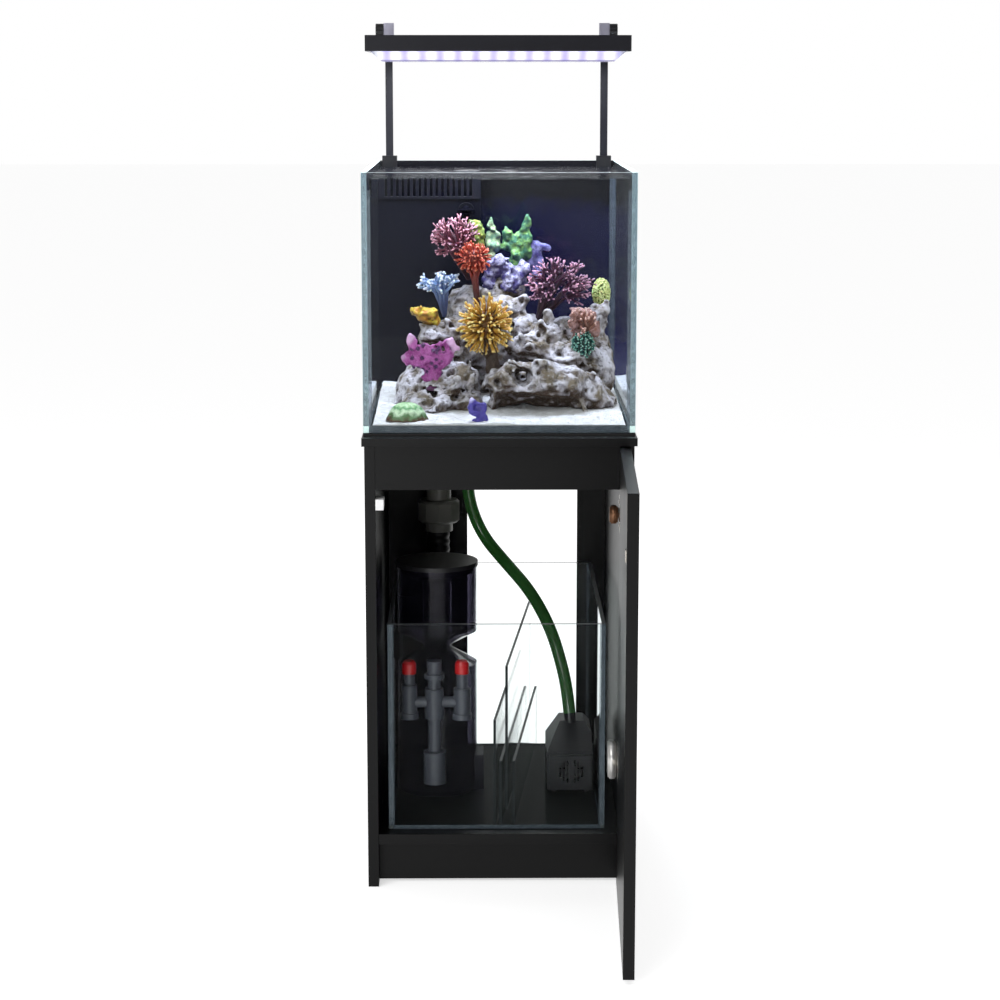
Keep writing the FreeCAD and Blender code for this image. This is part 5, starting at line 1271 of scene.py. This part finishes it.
# ------------------------------------------------------------------ camera, floor and light
def place_camera():
    data = bpy.data.cameras.new("view")
    data.lens = CAMERA_LENS
    data.sensor_width = 36.0
    camera = placed("view", data)
    camera.location = CAMERA_PLACE
    ahead = Vector((math.sin(CAMERA_TURN) * math.cos(CAMERA_TILT),
                    math.cos(CAMERA_TURN) * math.cos(CAMERA_TILT), -math.sin(CAMERA_TILT)))
    camera.rotation_mode = "QUATERNION"
    camera.rotation_quaternion = ahead.to_track_quat("-Z", "Y")
    bpy.context.scene.camera = camera


def soft_box(name, place, target, size, power, colour=(1.0, 1.0, 1.0)):
    data = bpy.data.lights.new(name, "AREA")
    data.shape = "RECTANGLE"
    data.size, data.size_y = size
    data.energy = power
    data.color = colour
    light = placed(name, data)
    light.location = place
    light.rotation_mode = "QUATERNION"
    ahead = Vector(target) - Vector(place)
    light.rotation_quaternion = ahead.to_track_quat("-Z", "Y")
    return light


def studio():
    world = bpy.data.worlds.new("studio")
    bpy.context.scene.world = world
    world.use_nodes = True
    tree = world.node_tree
    tree.nodes.clear()
    path = put(tree, "ShaderNodeLightPath").outputs
    plain = math_node(tree, "SUBTRACT", SKY_ON_MATT,
                      times(tree, path["Is Glossy Ray"], SKY_LESS_ON_GLOSS))
    strength = math_node(tree, "MAXIMUM", plain, path["Is Camera Ray"])
    sky = put(tree, "ShaderNodeBackground", {"Color": (1.0, 1.0, 1.0, 1.0), "Strength": strength})
    put(tree, "ShaderNodeOutputWorld", {"Surface": sky.outputs[0]})

    made, tree, skin, _ = finish("pale_floor")
    wire(tree, skin, Base_Color=(0.9, 0.9, 0.9), Roughness=0.8, Emission_Color=(1.0, 1.0, 1.0),
         Emission_Strength=FLOOR_GLOW, Specular_IOR_Level=0.1)
    mesh = bpy.data.meshes.new("floor")
    mesh.from_pydata([(-FLOOR_REACH, FLOOR_FRONT, 0), (FLOOR_REACH, FLOOR_FRONT, 0),
                      (FLOOR_REACH, FLOOR_REACH, 0), (-FLOOR_REACH, FLOOR_REACH, 0)],
                     [], [(0, 1, 2, 3)])
    mesh.materials.append(made)
    floor = placed("floor", mesh)
    floor.location.z = -FLOOR_DROP

    for name, place, target, size, power in SOFT_BOXES:
        soft_box(name, place, target, size, power)
    lens_low, lens_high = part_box("lamp_lens")
    centre = (lens_low + lens_high) / 2
    size = lens_high - lens_low
    lamp = soft_box("reef_light", (centre.x, centre.y, lens_low.z - REEF_LIGHT_BELOW),
                    (centre.x, centre.y, 0.0),
                    (size.x * REEF_LIGHT_SHARE, size.y * REEF_LIGHT_SHARE), REEF_LIGHT_POWER,
                    REEF_LIGHT_COLOUR)
    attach(lamp, "lamp")
    bpy.context.scene.view_settings.view_transform = "Standard"


# ------------------------------------------------------------------ hose
def hose():
    data = bpy.data.curves.new("return_hose_tube", "CURVE")
    data.dimensions = "3D"
    line = data.splines.new("NURBS")
    line.points.add(len(HOSE_ROUTE) - 1)
    for point, place in zip(line.points, HOSE_ROUTE):
        point.co = (*place, 1.0)
    line.order_u = 3
    line.use_endpoint_u = True
    line.resolution_u = 12
    data.bevel_depth = HOSE_DIAMETER / 2
    data.bevel_resolution = 6
    data.use_fill_caps = True
    data.materials.append(hose_finish())
    tube = placed("return_hose_tube", data)
    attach(tube, "cabinet")
    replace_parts(tube, "return_hose")


def water_surface():
    """Thin rippled skin of water between the panes, with a raised edge at the glass."""
    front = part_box("tank_front")[1].y
    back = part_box("tank_back")[0].y
    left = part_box("tank_side_left")[1].x
    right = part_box("tank_side_right")[0].x
    level = rim_z - WATER_BELOW_RIM
    gx, gy, flat = level_grid(left, right, front, back, WATER_GRID, PANE_GAP)
    near = np.exp(-((gx + 0.03) ** 2 + (gy - 0.06) ** 2) / 0.006)
    wave = (0.0007 + 0.0014 * near) * value_noise(flat, 0.02, 17)
    wall = np.minimum.reduce([gx - left, right - gx, gy - front, back - gy])
    top = level + wave + 0.0013 * np.exp(-wall / 0.002)
    mesh = bpy.data.meshes.new("water")
    mesh.from_pydata(*slab(gx, gy, top, top - WATER_THICK))
    settle("water_skin", mesh, water_finish(), "cabinet")


def hinge_covers():
    """Pressed covers over the two hinge arms on the right side panel, both nickel, in painted
    light: a light lit copy below and a dark coppery shaded copy above.
    """
    low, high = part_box("hinge_plates")
    thick, deep, tall = COVER_SIZE
    inner = low.x - COVER_GAP - thick / 2
    pressed = {"grain": 900.0, "depth": 0.00002, "dust": 0.02, "edge": 0.0005}
    # painted light: the lower cover is a lit copy of the nickel, light as a painted highlight, and
    # the upper a shaded copy, dark coppery brown for painted shade with a coppery painted glint
    nickel = moulded("hinge_cover_nickel", (0.75, 0.74, 0.72), 0.3, metal=0.6, **pressed)
    shaded_nickel = moulded("hinge_cover_bronze", (0.2, 0.1, 0.055), 0.35, metal=0.8, **pressed)
    for name, centre, scale, skin in (("hinge_cover_low", low.z + tall / 2, 1.0, nickel),
                                      ("hinge_cover_high", high.z - tall / 2, 0.5, shaded_nickel)):
        parts = bmesh.new()
        for corner in bmesh.ops.create_cube(parts, size=1.0)["verts"]:
            corner.co = (inner + corner.co.x * thick, COVER_Y + corner.co.y * deep * scale,
                         centre + corner.co.z * tall * scale)
        bmesh.ops.bevel(parts, geom=list(parts.edges), offset=COVER_ROUND, segments=3,
                        affect="EDGES")
        mesh = bpy.data.meshes.new(name)
        parts.to_mesh(mesh)
        parts.free()
        settle(name, mesh, skin, "cabinet")


place_camera()
hose()
studio()
dress_frame()
BRISTLES = bristle_tree()
sand_bed()
live_rock()
corals()
clam()
water_surface()
hinge_covers()
